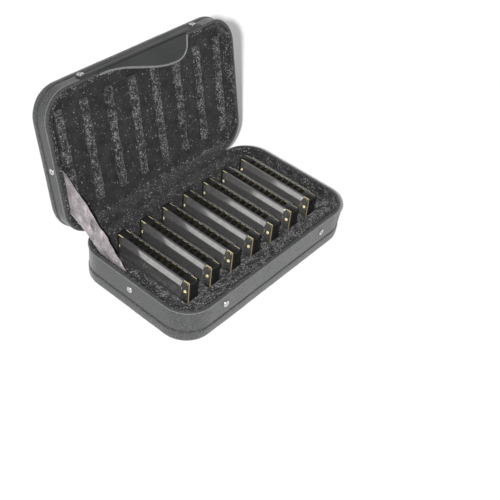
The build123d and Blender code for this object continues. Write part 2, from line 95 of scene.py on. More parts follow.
def angle(label, about, default):
    """An angle for a property group, given in degrees."""
    return FloatProperty(
        name=label, description=about, default=math.radians(default), subtype="ANGLE"
    )


def number(label, about, default):
    """A plain number for a property group."""
    return FloatProperty(name=label, description=about, default=default)


def colour(label, about, default):
    """A colour for a property group."""
    return FloatVectorProperty(
        name=label, description=about, default=default, subtype="COLOR", size=3, min=0, max=1
    )


class HarpCaseSizes(PropertyGroup):
    length: size("Length", "Left to right over the wall covers", 254)
    depth: size("Depth", "Front to rear over the wall covers", 152)
    corner: size("Corner", "Radius of the rounded corners", 30)
    base_height: size("Base height", "Underside to rim", 42)
    lid_height: size("Lid height", "Rim to top", 24)
    base_seam: size("Base seam", "Rim to the seam of the base", 26.5)
    lid_seam: size("Lid seam", "Rim to the seam of the lid", 14)
    seam_width: size("Seam width", "Height of the cord in each seam", 1.1)
    bulge: size("Edge bulge", "How far the padded edges stand out", 0.8)
    wall: size("Wall", "Wall covers to the inside of the plush", 4.9)
    binding_leg: size("Binding leg", "How far the rims' tape reaches down outside", 1.6)
    binding_width: size("Binding width", "How far the rims' tape reaches inwards", 2.2)
    tray_depth: size("Tray depth", "Rim to the plush between the harmonicas", 12)
    slot_depth: size("Slot depth", "Rim to the bottom of the slots", 19.8)
    slot_width: size("Slot width", "Across one harmonica", 21.2)
    slot_length: size("Slot length", "Along one harmonica", 101.2)
    pad_depth: size("Pad depth", "Rim to the plush over the harmonicas", 10)
    pad_roll: size("Pad roll", "How much fuller the lid's plush is along its sides", 2.6)
    ridge_depth: size("Ridge depth", "Rim to the crest of the ridges", 5)
    ridge_width: size("Ridge width", "Across one ridge", 9)
    ridge_length: size("Ridge length", "Along one ridge", 108)
    pitch: size("Pitch", "From one harmonica to the next", 30.6)
    harp_base: size("Harmonica base", "Floor to the harmonicas' back edges", 22.5)
    stay_base_y: size("Stay on the base", "Free edge of the stay at the base's rim", 10)
    stay_lid_y: size("Stay on the lid", "Free edge of the stay at the lid's rim", 1.5)
    stay_hold: size("Stay hold", "How far the stay reaches down inside the rims", 2.5)


class HarpCaseSoftness(PropertyGroup):
    cloth_play: size("Cloth unevenness", "How far the wall covers wander", 0.5)
    plush_play: size("Plush unevenness", "How far the plush surface wanders", 0.9)
    ridge_play: size("Ridge waviness", "How far the ridges wander sideways", 3.6)
    lid_crown: size("Lid crown", "How far the lid's padded top rises in its middle", 1.6)
    stay_bow: size("Stay bow", "How far the stay bows inwards", 1.6)
    stay_creases: size("Stay creases", "Depth of the creases in the stay", 1.3)


class HarpCaseColours(PropertyGroup):
    cloth: colour("Cloth", "Outer fabric", (0.047, 0.049, 0.048))
    cloth_light: colour("Cloth lint", "Worn threads of the outer fabric", (0.23, 0.222, 0.222))
    tape: colour("Tape", "Bound rims", (0.030, 0.031, 0.031))
    cord: colour("Cord", "Cords under the rims", (0.075, 0.077, 0.076))
    seam: colour("Seam", "Cords in the seams of the walls", (0.014, 0.0145, 0.0145))
    plush: colour("Plush", "Lining", (0.010, 0.010, 0.0103))
    # Colour of the painted glints on the plush.
    plush_glint: colour("Plush glints", "Bright fibre ends of the lining", (0.42, 0.41, 0.41))
    satin: colour("Satin", "Stay", (0.62, 0.555, 0.575))
    leather: colour("Leatherette", "Strap and flap", (0.013, 0.0135, 0.0135))
    welt: colour("Welt", "Rolled edge of the flap", (0.085, 0.087, 0.086))
    metal: colour("Rivets", "Bright metal", (0.56, 0.56, 0.55))
    cover: colour("Cover plates", "Polished metal of the harmonicas", (0.40, 0.395, 0.39))
    comb: colour("Combs", "Combs of the harmonicas", (0.008, 0.008, 0.008))
    brass: colour("Brass", "Reed plates", (0.80, 0.66, 0.34))
    # Lighter and partly diffuse: rubbed wear, and painted highlights on the plate edges and screws.
    worn_brass: colour("Worn brass", "Edges of the reed plates, and screws", (0.88, 0.78, 0.48))
    board: colour("Board", "Stiffener", (0.25, 0.21, 0.16))
    foam: colour("Foam", "Foam under the plush", (0.05, 0.05, 0.052))


class HarpCaseStage(PropertyGroup):
    azimuth: angle("Azimuth", "Camera round the case", -54.60)
    elevation: angle("Elevation", "Camera above the floor", 42.16)
    roll: angle("Roll", "Camera tilt", 7.61)
    distance: size("Distance", "Camera to its target", 863.34)
    target: FloatVectorProperty(
        name="Target",
        description="Point the camera looks at",
        default=(-0.00256, -0.04394, 0.030),
        subtype="TRANSLATION",
    )
    lens: number("Lens", "Focal length in millimetres", 61.39)
    key_power: number("Key light", "Power of the main lamp in watts", 14.0)
    key_aside: size("Key aside", "How far left of the camera the main lamp stands", 42)
    fill_power: number("Fill light", "Power of the soft lamp in watts", 1.2)
    sky: number("Sky", "Strength of the light from all round", 0.30)


def sizes():
    return bpy.context.scene.harpcase_sizes


def softness():
    return bpy.context.scene.harpcase_softness


def colours():
    return bpy.context.scene.harpcase_colours


# ---- where the two halves stand ----


class Half:
    """One half of the case. Local Z is the depth from its rim, local Y runs along its sides."""

    def __init__(self, name, place, height, seam, cavity):
        self.name, self.place = name, place
        self.height, self.seam, self.cavity = height, seam, cavity

    def take(self, obj, node, slot, finish, turn=40):
        """Takes over a finished piece that stands for one of its nodes."""
        hand_over(obj, self.name, f"{self.name}_{node}", finish, self.place, turn)


def base_place():
    """Turns the depth from the base's rim into a height above the floor."""
    return Matrix.Translation((0, 0, sizes().base_height)) @ Matrix.Rotation(math.pi, 4, "X")


def lid_place():
    """The frame of the open lid's rim."""
    turn = math.radians(-HINGE["range_deg"][0])
    back = Vector((0, math.cos(turn), -math.sin(turn)))
    out = Vector((0, math.sin(turn), math.cos(turn)))
    rise = sizes().base_height - HINGE_SPOT.z + RIM_GAP
    place = Matrix((Vector((1, 0, 0)), back, out)).transposed().to_4x4()
    place.translation = HINGE_SPOT - back * HINGE_SPOT.y + out * rise
    return place


def halves():
    s = sizes()
    return (
        Half("base", base_place(), s.base_height, s.base_seam, s.tray_depth),
        Half("lid", lid_place(), s.lid_height, s.lid_seam, s.pad_depth),
    )


def harmonica_places():
    """X of each harmonica, from left to right."""
    return [(n - (HARMONICAS - 1) / 2) * sizes().pitch for n in range(HARMONICAS)]


# ---- modelling helpers ----


def only_none():
    """Leaves edit mode and selects nothing."""
    if bpy.context.mode != "OBJECT":
        bpy.ops.object.mode_set(mode="OBJECT")
    bpy.ops.object.select_all(action="DESELECT")


def only(obj):
    """Leaves edit mode and selects one object alone."""
    only_none()
    obj.select_set(True)
    bpy.context.view_layer.objects.active = obj


def start_from(kind, name, **settings):
    """A new primitive, which alone is selected."""
    only_none()
    getattr(bpy.ops.mesh, f"primitive_{kind}_add")(**settings)
    bpy.context.object.name = name
    return bpy.context.object


def put_in(obj):
    """Puts a new object in the scene."""
    bpy.context.scene.collection.objects.link(obj)
    return obj


def settle(obj, place=None):
    """Applies the object's place, and a further one, to its mesh."""
    only(obj)
    if place is not None:
        obj.matrix_world = place @ obj.matrix_world
        bpy.context.view_layer.update()
    bpy.ops.object.transform_apply(location=True, rotation=True, scale=True)


def add_block(name, low, high):
    """A block between two corners, with its place in its mesh."""
    low, high = Vector(low), Vector(high)
    obj = start_from("cube", name, size=1, location=(low + high) / 2)
    obj.scale = high - low
    settle(obj)
    return obj


def choose(obj, kind, test):
    """Selects the vertices, edges or faces that pass a test, in edit mode."""
    only(obj)
    mesh = obj.data
    groups = {"VERT": mesh.vertices, "EDGE": mesh.edges, "FACE": mesh.polygons}
    for group in groups.values():
        group.foreach_set("select", [False] * len(group))
    for item in groups[kind]:
        item.select = bool(test(item))
    bpy.context.tool_settings.mesh_select_mode = tuple(k == kind for k in groups)
    bpy.ops.object.mode_set(mode="EDIT")


def choose_all(obj):
    only(obj)
    bpy.ops.object.mode_set(mode="EDIT")
    bpy.ops.mesh.select_all(action="SELECT")


def choose_edges(obj, each, pair=None):
    """Selects the edges whose two points pass one test each, and another as a pair."""
    points = obj.data.vertices

    def passes(edge):
        a, b = (points[i].co for i in edge.vertices)
        return each(a) and each(b) and (pair is None or pair(a, b))

    choose(obj, "EDGE", passes)


def cut_away(obj, test):
    """Deletes the faces that pass a test."""
    choose(obj, "FACE", test)
    bpy.ops.mesh.delete(type="FACE")


def lift_out(depth):
    """Extrudes the selected faces along Z."""
    bpy.ops.mesh.extrude_region_move(TRANSFORM_OT_translate={"value": (0, 0, depth)})


def round_edges(width, steps):
    """Bevels the selected edges."""
    bpy.ops.mesh.bevel(offset=width, segments=steps, affect="EDGES")


def near(value, target):
    return abs(value - target) < 0.02 * MM


def anywhere(point):
    return True


def clamp(value):
    """A value kept between 0 and 1."""
    return max(0, min(1, value))


def case_block(name, proud, top, bottom, top_round=0, bottom_round=0):
    """A block with the case's outline, moved out by an amount, between two depths."""
    s = sizes()
    x, y = s.length / 2 + proud, s.depth / 2 + proud
    obj = add_block(name, (-x, -y, top), (x, y, bottom))
    choose_edges(obj, anywhere, lambda a, b: abs(a.z - b.z) > MM)
    round_edges(s.corner + proud, 14)
    for level, amount in ((top, top_round), (bottom, bottom_round)):
        if amount:
            choose_edges(obj, lambda p: near(p.z, level))
            round_edges(amount, 5)
    only(obj)
    return obj


def cut_planes(obj, axis, places):
    """Cuts the whole mesh at planes across one axis."""
    only(obj)
    bpy.ops.object.mode_set(mode="EDIT")
    direction = tuple(float(n == axis) for n in range(3))
    for place in places:
        bpy.ops.mesh.select_all(action="SELECT")
        point = tuple(place if n == axis else 0.0 for n in range(3))
        bpy.ops.mesh.bisect(plane_co=point, plane_no=direction)
    bpy.ops.object.mode_set(mode="OBJECT")


def spread(low, high, step):
    """Places between two limits, no further apart than a step, without the limits."""
    count = max(1, math.ceil((high - low) / step))
    return [low + (high - low) * n / count for n in range(1, count)]


def modify(obj, kind, **settings):
    """Adds a modifier and applies it."""
    only(obj)
    modifier = obj.modifiers.new(kind.title(), kind)
    for key, value in settings.items():
        setattr(modifier, key, value)
    bpy.ops.object.modifier_apply(modifier=modifier.name)


def soften(obj, width, steps, angle):
    """Bevels the edges that are sharper than an angle."""
    limit = math.radians(angle)
    modify(obj, "BEVEL", width=width, segments=steps, limit_method="ANGLE", angle_limit=limit)


def wander(obj, grain, strength, direction="NORMAL", group=""):
    """Moves the surface to and fro by a soft cloud pattern."""
    texture = bpy.data.textures.new(f"{obj.name}_clouds", "CLOUDS")
    texture.noise_scale = grain
    texture.noise_depth = 2
    modify(
        obj,
        "DISPLACE",
        texture=texture,
        strength=strength,
        mid_level=0.5,
        direction=direction,
        vertex_group=group,
    )


def smooth(obj, angle=40):
    only(obj)
    bpy.ops.object.shade_smooth_by_angle(angle=math.radians(angle))


def outward(obj):
    """Merges doubles and turns all faces outwards."""
    choose_all(obj)
    bpy.ops.mesh.remove_doubles(threshold=0.01 * MM)
    bpy.ops.mesh.normals_make_consistent(inside=False)
    only(obj)


def join(name, objs):
    """Joins several objects into the first."""
    only(objs[0])
    for obj in objs[1:]:
        obj.select_set(True)
    bpy.ops.object.join()
    bpy.context.object.name = name
    return bpy.context.object


def copy_at(obj, name, place):
    """A copy with its own mesh, moved by a matrix."""
    made = obj.copy()
    made.data = obj.data.copy()
    made.name = name
    put_in(made)
    settle(made, place)
    return made


def cad_copy(node, name):
    """A merged copy of a CAD node's mesh."""
    made = NODES[node].copy()
    made.data = NODES[node].data.copy()
    for key in list(made.keys()):
        del made[key]
    made.parent = None
    made.name = name
    put_in(made)
    made.hide_viewport = made.hide_render = False
    choose_all(made)
    bpy.ops.mesh.remove_doubles(threshold=0.001 * MM)
    bpy.ops.mesh.dissolve_limited(angle_limit=math.radians(1))
    only(made)
    return made


def hand_over(obj, body, node, finish, place=None, turn=40):
    """Puts a finished piece in place on its body, in its finish."""
    settle(obj, place)
    obj.data.materials.clear()
    obj.data.materials.append(finish_of(finish))
    smooth(obj, turn)
    if body:
        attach(obj, body)
    for name in [node] if isinstance(node, str) else node:
        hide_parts(name)
    return obj


# ---- finishes ----


def feed(node, values):
    """Sets a shader node's inputs, from plain values or from other nodes' outputs."""
    for key, value in values.items():
        if isinstance(value, bpy.types.NodeSocket):
            node.id_data.links.new(value, node.inputs[key])
        else:
            node.inputs[key].default_value = value
    return node


def add_node(tree, kind, settings=None, inputs=None):
    """A shader node with its settings and its inputs."""
    made = tree.nodes.new("ShaderNode" + kind)
    for key, value in (settings or {}).items():
        setattr(made, key, value)
    return feed(made, inputs or {})


def calc(tree, kind, *values):
    """A Math node's output."""
    return add_node(tree, "Math", {"operation": kind}, dict(enumerate(values))).outputs[0]


def ranged(tree, value, low, high, first, last):
    """A value taken from one range to another and kept inside it."""
    inputs = {0: value, 1: low, 2: high, 3: first, 4: last}
    return add_node(tree, "MapRange", None, inputs).outputs[0]


def mixed(tree, factor, a, b):
    """Two colours mixed by a factor."""
    return add_node(tree, "Mix", {"data_type": "RGBA"}, {0: factor, 6: a, 7: b}).outputs[2]


def scaled(tree, vector, factor):
    """A colour or place times a factor."""
    inputs = {0: vector, "Scale": factor}
    return add_node(tree, "VectorMath", {"operation": "SCALE"}, inputs).outputs[0]


def object_place(tree):
    return add_node(tree, "TexCoord").outputs["Object"]


def brushed(tree, label):
    """A value that was written at each point of a piece."""
    return add_node(tree, "Attribute", {"attribute_name": label}).outputs["Fac"]


def clouds(tree, scale, detail, place=None, **settings):
    """A soft noise pattern's value and colour."""
    place = object_place(tree) if place is None else place
    inputs = {"Vector": place, "Scale": scale, "Detail": detail}
    return add_node(tree, "TexNoise", settings, inputs).outputs


def turned(tree, scale):
    """An object's own coordinates, stretched along its axes."""
    inputs = {"Vector": object_place(tree), "Scale": scale}
    return add_node(tree, "Mapping", None, inputs).outputs[0]


def solid(value, times=1):
    return (*(v * times for v in value), 1.0)


def new_group(name, inputs, outputs):
    """An empty node group with its sockets, and its two end nodes."""
    tree = bpy.data.node_groups.new(name, "ShaderNodeTree")
    for label, kind, value in inputs:
        socket = tree.interface.new_socket(label, in_out="INPUT", socket_type="NodeSocket" + kind)
        socket.default_value = value
    for label in outputs:
        kind = "Color" if label == "Colour" else "Float"
        tree.interface.new_socket(label, in_out="OUTPUT", socket_type="NodeSocket" + kind)
    start = tree.nodes.new("NodeGroupInput")
    end = tree.nodes.new("NodeGroupOutput")
    return tree, start.outputs, end


def weave_group():
    """Crossed threads that show the same weave on every side of a piece."""
    inputs = [("Threads per metre", "Float", 900.0)]
    tree, given, end = new_group("shared weave", inputs, ["Height"])
    wide = scaled(tree, object_place(tree), calc(tree, "MULTIPLY", given[0], math.pi))
    wave = add_node(tree, "VectorMath", {"operation": "SINE"}, {0: wide})
    x, y, z = add_node(tree, "SeparateXYZ", None, {0: wave.outputs[0]}).outputs
    crossed = calc(tree, "MULTIPLY", x, y)
    crossed = calc(tree, "MULTIPLY_ADD", y, z, crossed)
    crossed = calc(tree, "MULTIPLY_ADD", z, x, crossed)
    feed(end, {"Height": calc(tree, "MULTIPLY_ADD", crossed, 0.5, 0.5)})
    return tree


def mottle_group():
    """A colour that varies softly towards a second one."""
    inputs = [
        ("Colour", "Color", (0.1, 0.1, 0.1, 1)),
        ("Second colour", "Color", (0.2, 0.2, 0.2, 1)),
        ("Scale", "Float", 40.0),
        ("Share", "Float", 0.5),
    ]
    tree, given, end = new_group("shared mottle", inputs, ["Colour", "Value"])
    value = ranged(tree, clouds(tree, given["Scale"], 6.0)[0], 0.35, 0.7, 0.0, given["Share"])
    both = mixed(tree, value, given["Colour"], given["Second colour"])
    feed(end, {"Colour": both, "Value": value})
    return tree


def speck_group():
    """Scattered small specks, such as fibre ends that catch the light."""
    inputs = [("Scale", "Float", 900.0), ("Share", "Float", 0.2), ("Radius", "Float", 0.4)]
    tree, given, end = new_group("shared specks", inputs, ["Mask", "Height"])
    spots = {"Vector": object_place(tree), "Scale": given["Scale"]}
    cells = add_node(tree, "TexVoronoi", None, spots).outputs
    pick = add_node(tree, "SeparateColor", None, {0: cells["Color"]}).outputs
    kept = calc(tree, "LESS_THAN", pick[0], given["Share"])
    inside = ranged(tree, cells["Distance"], 0.0, given["Radius"], 1.0, 0.0)
    bright = calc(tree, "MULTIPLY", inside, pick[1])
    feed(end, {"Mask": calc(tree, "MULTIPLY", bright, kept), "Height": inside})
    return tree


def grain_group():
    """The pebbled grain of leatherette."""
    tree, given, end = new_group("shared grain", [("Scale", "Float", 900.0)], ["Height"])
    warp = clouds(tree, 120.0, 3.0)["Color"]
    shifted = {0: warp, 1: (0.002,) * 3, 2: object_place(tree)}
    place = add_node(tree, "VectorMath", {"operation": "MULTIPLY_ADD"}, shifted).outputs[0]
    pebbles = {"Vector": place, "Scale": given["Scale"]}
    cells = add_node(tree, "TexVoronoi", {"feature": "DISTANCE_TO_EDGE"}, pebbles).outputs[0]
    feed(end, {"Height": ranged(tree, cells, 0.0, 0.25, 0.0, 1.0)})
    return tree


def marks_group():
    """Fine scratches and handling marks on hard surfaces."""
    inputs = [("Scale", "Float", 60.0), ("Amount", "Float", 0.3)]
    tree, given, end = new_group("shared marks", inputs, ["Mask"])
    lines = clouds(tree, given["Scale"], 8.0, turned(tree, (14.0, 1.0, 14.0)))[0]
    both = calc(tree, "MULTIPLY", lines, clouds(tree, 45.0, 4.0)[0])
    feed(end, {"Mask": ranged(tree, both, 0.2, 0.45, 0.0, given["Amount"])})
    return tree


GROUPS = {
    "weave": weave_group,
    "mottle": mottle_group,
    "specks": speck_group,
    "grain": grain_group,
    "marks": marks_group,
}


def use_group(tree, name, **inputs):
    """Places a shared effect in a material."""
    key = f"shared {name}"
    placed = tree.nodes.new("ShaderNodeGroup")
    placed.node_tree = bpy.data.node_groups.get(key) or GROUPS[name]()
    return feed(placed, {label.replace("_", " "): value for label, value in inputs.items()}).outputs


def patchy(tree, tone, times, scale, share):
    """A colour that varies towards a multiple of itself."""
    both = {"Colour": solid(tone), "Second_colour": solid(tone, times)}
    return use_group(tree, "mottle", **both, Scale=scale, Share=share)


def new_finish(name, **sockets):
    """A material with its Principled shader's plain values set, and its node tree."""
    finish = bpy.data.materials.new(name)
    finish.use_nodes = True
    shade(finish, {label.replace("_", " "): value for label, value in sockets.items()})
    return finish, finish.node_tree


def shade(finish, inputs):
    """Sets inputs of a material's Principled shader."""
    feed(finish.node_tree.nodes["Principled BSDF"], inputs)


def dress(finish, tone, rough, height, strength, distance):
    """Feeds a material its colour, its roughness and the relief of its surface."""
    relief = {"Strength": strength, "Distance": distance, "Height": height}
    bump = add_node(finish.node_tree, "Bump", None, relief).outputs[0]
    shade(finish, {"Base Color": tone, "Roughness": rough, "Normal": bump})
    return finish


def cloth_finish(name, tone, lint, threads, lint_share=0.3):
    """Woven polyester: uneven threads, faded patches, lint, and painted shade in dark lines along
    the seams and rims.
    """
    finish, tree = new_finish(
        name, Roughness=0.78, Sheen_Weight=0.25, Sheen_Roughness=0.45, Specular_IOR_Level=0.35
    )
    weave = use_group(tree, "weave", Threads_per_metre=threads)[0]
    patches = patchy(tree, tone, 1.35, 26.0, 0.7)
    specks = use_group(tree, "specks", Scale=1050.0, Share=lint_share, Radius=0.55)
    slubs = clouds(tree, 850.0, 3.0)[0]
    tint = calc(tree, "MULTIPLY_ADD", weave, 0.25, ranged(tree, slubs, 0.38, 0.62, 0.45, 1.4))
    # Painted shade: the colour is darkened along the seams and under the rim's cord, where they
    # shade the cloth.
    painted_seam_shade = calc(tree, "MULTIPLY_ADD", brushed(tree, "sewn"), -0.72, 1.0)
    tint = calc(tree, "MULTIPLY", tint, painted_seam_shade)
    worn = mixed(tree, specks["Mask"], scaled(tree, patches["Colour"], tint), solid(lint))
    rough = calc(tree, "MULTIPLY_ADD", patches["Value"], 0.14, 0.70)
    relief = calc(tree, "MULTIPLY_ADD", slubs, 1.2, weave)
    return dress(finish, worn, rough, relief, 0.5, 0.12 * MM)


def plush_finish():
    """Short black plush with painted glints: bright specks of fibre ends catching the light, set by
    a share written on each piece.
    """
    c = colours()
    finish, tree = new_finish(
        "plush", Roughness=0.95, Sheen_Weight=0.12, Sheen_Roughness=0.5, Specular_IOR_Level=0.15
    )
    patches = patchy(tree, c.plush, 2.4, 90.0, 1.0)
    curls = ranged(tree, clouds(tree, 130.0, 3.0)[0], 0.38, 0.6, 0.15, 1.0)
    share = calc(tree, "MULTIPLY", brushed(tree, "nap"), curls)
    coarse = use_group(tree, "specks", Scale=600.0, Share=share, Radius=0.62)
    fine = use_group(tree, "specks", Scale=1150.0, Share=share, Radius=0.6)
    # Painted glints: bright specks that stand in for fibre ends catching the light.
    glint_mask = calc(tree, "MAXIMUM", coarse["Mask"], fine["Mask"])
    tone = mixed(tree, glint_mask, patches["Colour"], solid(c.plush_glint))
    rough = calc(tree, "MULTIPLY_ADD", glint_mask, -0.35, 0.95)
    relief = calc(tree, "MULTIPLY_ADD", coarse["Height"], 0.6, clouds(tree, 900.0, 4.0)[0])
    return dress(finish, tone, rough, relief, 0.8, 0.5 * MM)


def satin_finish():
    """Thin lining satin: soft gloss, small creases, and painted light and shade: lighter crease
    crests, darker hollows and a darker fold where it gathers.
    """
    finish, tree = new_finish(
        "satin", Roughness=0.42, Sheen_Weight=0.5, Sheen_Roughness=0.35, Anisotropic=0.3
    )
    patches = patchy(tree, colours().satin, 0.4, 120.0, 0.8)
    weave = use_group(tree, "weave", Threads_per_metre=2200.0)[0]
    slanted = turned(tree, (1.0, 1.6, 0.5))
    crease = clouds(tree, 85.0, 5.0, slanted, noise_type="RIDGED_MULTIFRACTAL")[0]
    # Painted light and shade: the crease pattern that bumps the satin also lightens its crests and
    # darkens its hollows.
    lit = ranged(tree, crease, 0.15, 0.85, 0.5, 1.15)
    fine = ranged(tree, clouds(tree, 900.0, 2.0)[0], 0.36, 0.64, 0.68, 1.25)
    # Painted shade in the pinched fold near the stay's middle.
    painted_fold_shade = calc(tree, "MULTIPLY_ADD", brushed(tree, "fold"), -0.65, 1.0)
    tint = calc(tree, "MULTIPLY", calc(tree, "MULTIPLY", lit, fine), painted_fold_shade)
    rough = calc(tree, "MULTIPLY_ADD", patches["Value"], 0.25, 0.34)
    relief = calc(tree, "MULTIPLY_ADD", weave, 0.05, crease)
    return dress(finish, scaled(tree, patches["Colour"], tint), rough, relief, 0.6, 0.5 * MM)


def leather_finish(name, tone, rough):
    """Leatherette with a pebbled grain, worn lighter in places."""
    finish, tree = new_finish(
        name, Roughness=rough, Specular_IOR_Level=0.32, Coat_Weight=0.04, Coat_Roughness=0.35
    )
    patches = patchy(tree, tone, 2.3, 34.0, 0.9)
    pebbles = use_group(tree, "grain", Scale=1000.0)[0]
    marks = use_group(tree, "marks", Scale=40.0, Amount=0.3)[0]
    worn = mixed(tree, marks, patches["Colour"], solid(tone, 2.2))
    uneven = calc(tree, "MULTIPLY_ADD", patches["Value"], 0.2, rough)
    return dress(finish, worn, uneven, pebbles, 0.35, 0.15 * MM)


def metal_finish(name, tone, rough, marks, tarnish=0.6, metallic=1.0):
    """Bright metal with handling marks and a slightly darker tarnish."""
    finish, tree = new_finish(name, Roughness=rough, Metallic=metallic)
    patches = patchy(tree, tone, tarnish, 160.0, 0.6)
    lines = use_group(tree, "marks", Scale=90.0, Amount=marks)[0]
    worn = calc(tree, "MULTIPLY_ADD", lines, 0.5, rough)
    worn = calc(tree, "MULTIPLY_ADD", patches["Value"], 0.1, worn)
    return dress(finish, patches["Colour"], worn, lines, 0.1, 0.02 * MM)


def plastic_finish():
    """Moulded plastic of the combs, with a faint flow grain."""
    finish, tree = new_finish("comb_plastic", Roughness=0.3, Specular_IOR_Level=0.35)
    patches = patchy(tree, colours().comb, 2.5, 200.0, 0.5)
    lines = use_group(tree, "marks", Scale=120.0, Amount=0.5)[0]
    rough = calc(tree, "MULTIPLY_ADD", lines, 0.3, 0.28)
    return dress(finish, patches["Colour"], rough, lines, 0.12, 0.03 * MM)


def raw_finish(name, tone, grain):
    """Board or foam: a dull surface with a fine open grain."""
    finish, tree = new_finish(name, Roughness=0.92, Specular_IOR_Level=0.2)
    patches = patchy(tree, tone, 0.6, grain / 6, 0.8)
    pores = use_group(tree, "specks", Scale=grain, Share=0.6, Radius=0.5)["Height"]
    rough = calc(tree, "MULTIPLY_ADD", pores, -0.2, 0.95)
    return dress(finish, patches["Colour"], rough, pores, 0.4, 0.2 * MM)


def twisted_finish(name, tone, turns):
    """A twisted or ribbed cord: slanting strands round its length, with painted light on the
    strands' crests.
    """
    finish, tree = new_finish(name, Roughness=0.7, Sheen_Weight=0.3)
    strands = {"Vector": object_place(tree), "Scale": turns, "Distortion": 0.6, "Detail": 1.0}
    slant = add_node(tree, "TexWave", {"bands_direction": "DIAGONAL"}, strands).outputs[1]
    patches = patchy(tree, tone, 1.8, 80.0, 0.8)
    # Painted light: colour lightened on the same wave that raises the strands.
    lit = mixed(tree, slant, patches["Colour"], solid(tone, 1.9))
    rough = calc(tree, "MULTIPLY_ADD", slant, -0.15, 0.78)
    return dress(finish, lit, rough, slant, 0.6, 0.2 * MM)


FINISHES = {}


def finish_of(name):
    """Makes a finish once and returns it."""
    c = colours()
    makers = {
        "cloth": lambda: cloth_finish("case_cloth", c.cloth, c.cloth_light, 1700.0),
        "tape": lambda: cloth_finish("rim_tape", c.tape, c.cloth_light, 1900.0, 0.12),
        "cord": lambda: twisted_finish("rim_cord", c.cord, 260.0),
        "seam": lambda: twisted_finish("seam_cord", c.seam, 260.0),
        "plush": plush_finish,
        "satin": satin_finish,
        "leather": lambda: leather_finish("leatherette", c.leather, 0.42),
        "welt": lambda: twisted_finish("welt", c.welt, 180.0),
        "chrome": lambda: metal_finish("rivet_metal", c.metal, 0.2, 0.25),
        "brass": lambda: metal_finish("brass", c.brass, 0.24, 0.1, 0.75),
        # Partly rubbed wear, partly painted highlight: lighter, less metallic brass for edges and
        # screws.
        "worn brass": lambda: metal_finish("worn_brass", c.worn_brass, 0.42, 0.2, 0.8, 0.35),
        "cover": lambda: metal_finish("cover_metal", c.cover, 0.1, 0.2, 0.7, 0.86),
        "comb": plastic_finish,
        "board": lambda: raw_finish("board", c.board, 500.0),
        "foam": lambda: raw_finish("foam", c.foam, 1500.0),
    }
    if name not in FINISHES:
        FINISHES[name] = makers[name]()
    return FINISHES[name]


def refinish(node, name):
    """Gives a CAD node's object a finish."""
    materials = NODES[node].data.materials
    materials.clear()
    materials.append(finish_of(name))


# ---- the case's covers ----


class HARPCASE_OT_covers(Operator):
    """Wall covers and padded end covers of both halves"""

    bl_idname = "harpcase.covers"
    bl_label = "Covers"

    def execute(self, context):
        for half in halves():
            wall_cover(half)
            end_cover(half)
            refinish(f"{half.name}_board", "board")
        for node in ("base_foam_pad", "base_foam_divider", "lid_foam_pad", "lid_foam_ridges"):
            refinish(node, "foam")
        return {"FINISHED"}


SEAM_SHADE_WIDTH = 1.1 * MM  # how far from a seam or rim the painted shade reaches


def seam_shade_at(depth, seam):
    """1 at a seam, and 0 past the width of the painted shade."""
    return max(0, 1 - abs(depth - seam) / SEAM_SHADE_WIDTH)


def straight_spans():
    """Half the length of the walls' straight stretches, along X and Y."""
    s = sizes()
    return s.length / 2 - s.corner, s.depth / 2 - s.corner


def wall_grid(obj, step, top, bottom):
    """Cuts a piece that goes round the case into cells."""
    for axis, span in enumerate(straight_spans()):
        cut_planes(obj, axis, [-span, *spread(-span, span, step), span])
    cut_planes(obj, 2, spread(top, bottom, step))


def wall_cover(half):
    """The smooth band of cloth between the rim's cord and the seam."""
    s = sizes()
    top = s.binding_leg + 1.2 * MM
    bottom = half.seam - s.seam_width / 2
    band = case_block(f"{half.name}_wall_cloth", 0, top, bottom)
    cut_away(band, lambda f: abs(f.normal.z) > 0.5)
    wall_grid(band, 5 * MM, top, bottom)
    cut_planes(band, 2, [top + SEAM_SHADE_WIDTH, bottom - SEAM_SHADE_WIDTH])
    wander(band, 30 * MM, softness().cloth_play)
    modify(band, "SOLIDIFY", thickness=CLOTH, offset=-1)
    outward(band)
    # Painted shade along the wall cloth's top and bottom edges.
    brush(band, "sewn", lambda co: seam_shade_at(co.z, top) + seam_shade_at(co.z, bottom))
    half.take(band, "wall_cover", "case_fabric", "cloth")


def end_cover(half):
    """The cloth over the bottom or top, rolled up to the seam over its padded edge."""
    s = sizes()
    top = half.seam + s.seam_width / 2
    lid = half.name == "lid"
    name = f"{half.name}_end_cloth"
    shell = case_block(name, s.bulge, top, half.height, 1.6 * MM, 6 * MM)
    cut_away(shell, lambda f: f.normal.z < -0.98)
    wall_grid(shell, 7 * MM, top, half.height)
    cut_planes(shell, 2, [top + SEAM_SHADE_WIDTH])
    wander(shell, 24 * MM, softness().cloth_play * 1.4)
    for vertex in shell.data.vertices:
        if lid and vertex.co.z > half.height - 3 * MM:
            across = 1 - (vertex.co.x * 2 / s.length) ** 2
            along = 1 - (vertex.co.y * 2 / s.depth) ** 2
            vertex.co.z += softness().lid_crown * max(0, across) * max(0, along)
        if not lid:
            vertex.co.z = min(vertex.co.z, half.height)
    modify(shell, "SOLIDIFY", thickness=CLOTH, offset=-1)
    outward(shell)
    # Painted shade along the end cloth's seam.
    brush(shell, "sewn", lambda co: seam_shade_at(co.z, top))
    half.take(shell, "top_cover" if lid else "bottom_cover", "case_fabric", "cloth")


# ---- rims and cords ----


class HARPCASE_OT_edges(Operator):
    """Bound rims, and the cords under them and in the seams"""

    bl_idname = "harpcase.edges"
    bl_label = "Rims and cords"

    def execute(self, context):
        s = sizes()
        for half in halves():
            rim_tape(half)
            under = s.binding_leg + 0.6 * MM
            loop_cord(half, "rim_cord", "rim_piping", -0.32 * MM, under, 0.55 * MM, "cord")
            loop_cord(half, "seam_cord", "seam_piping", 0.45 * MM, half.seam, 0.52 * MM, "seam")
        return {"FINISHED"}


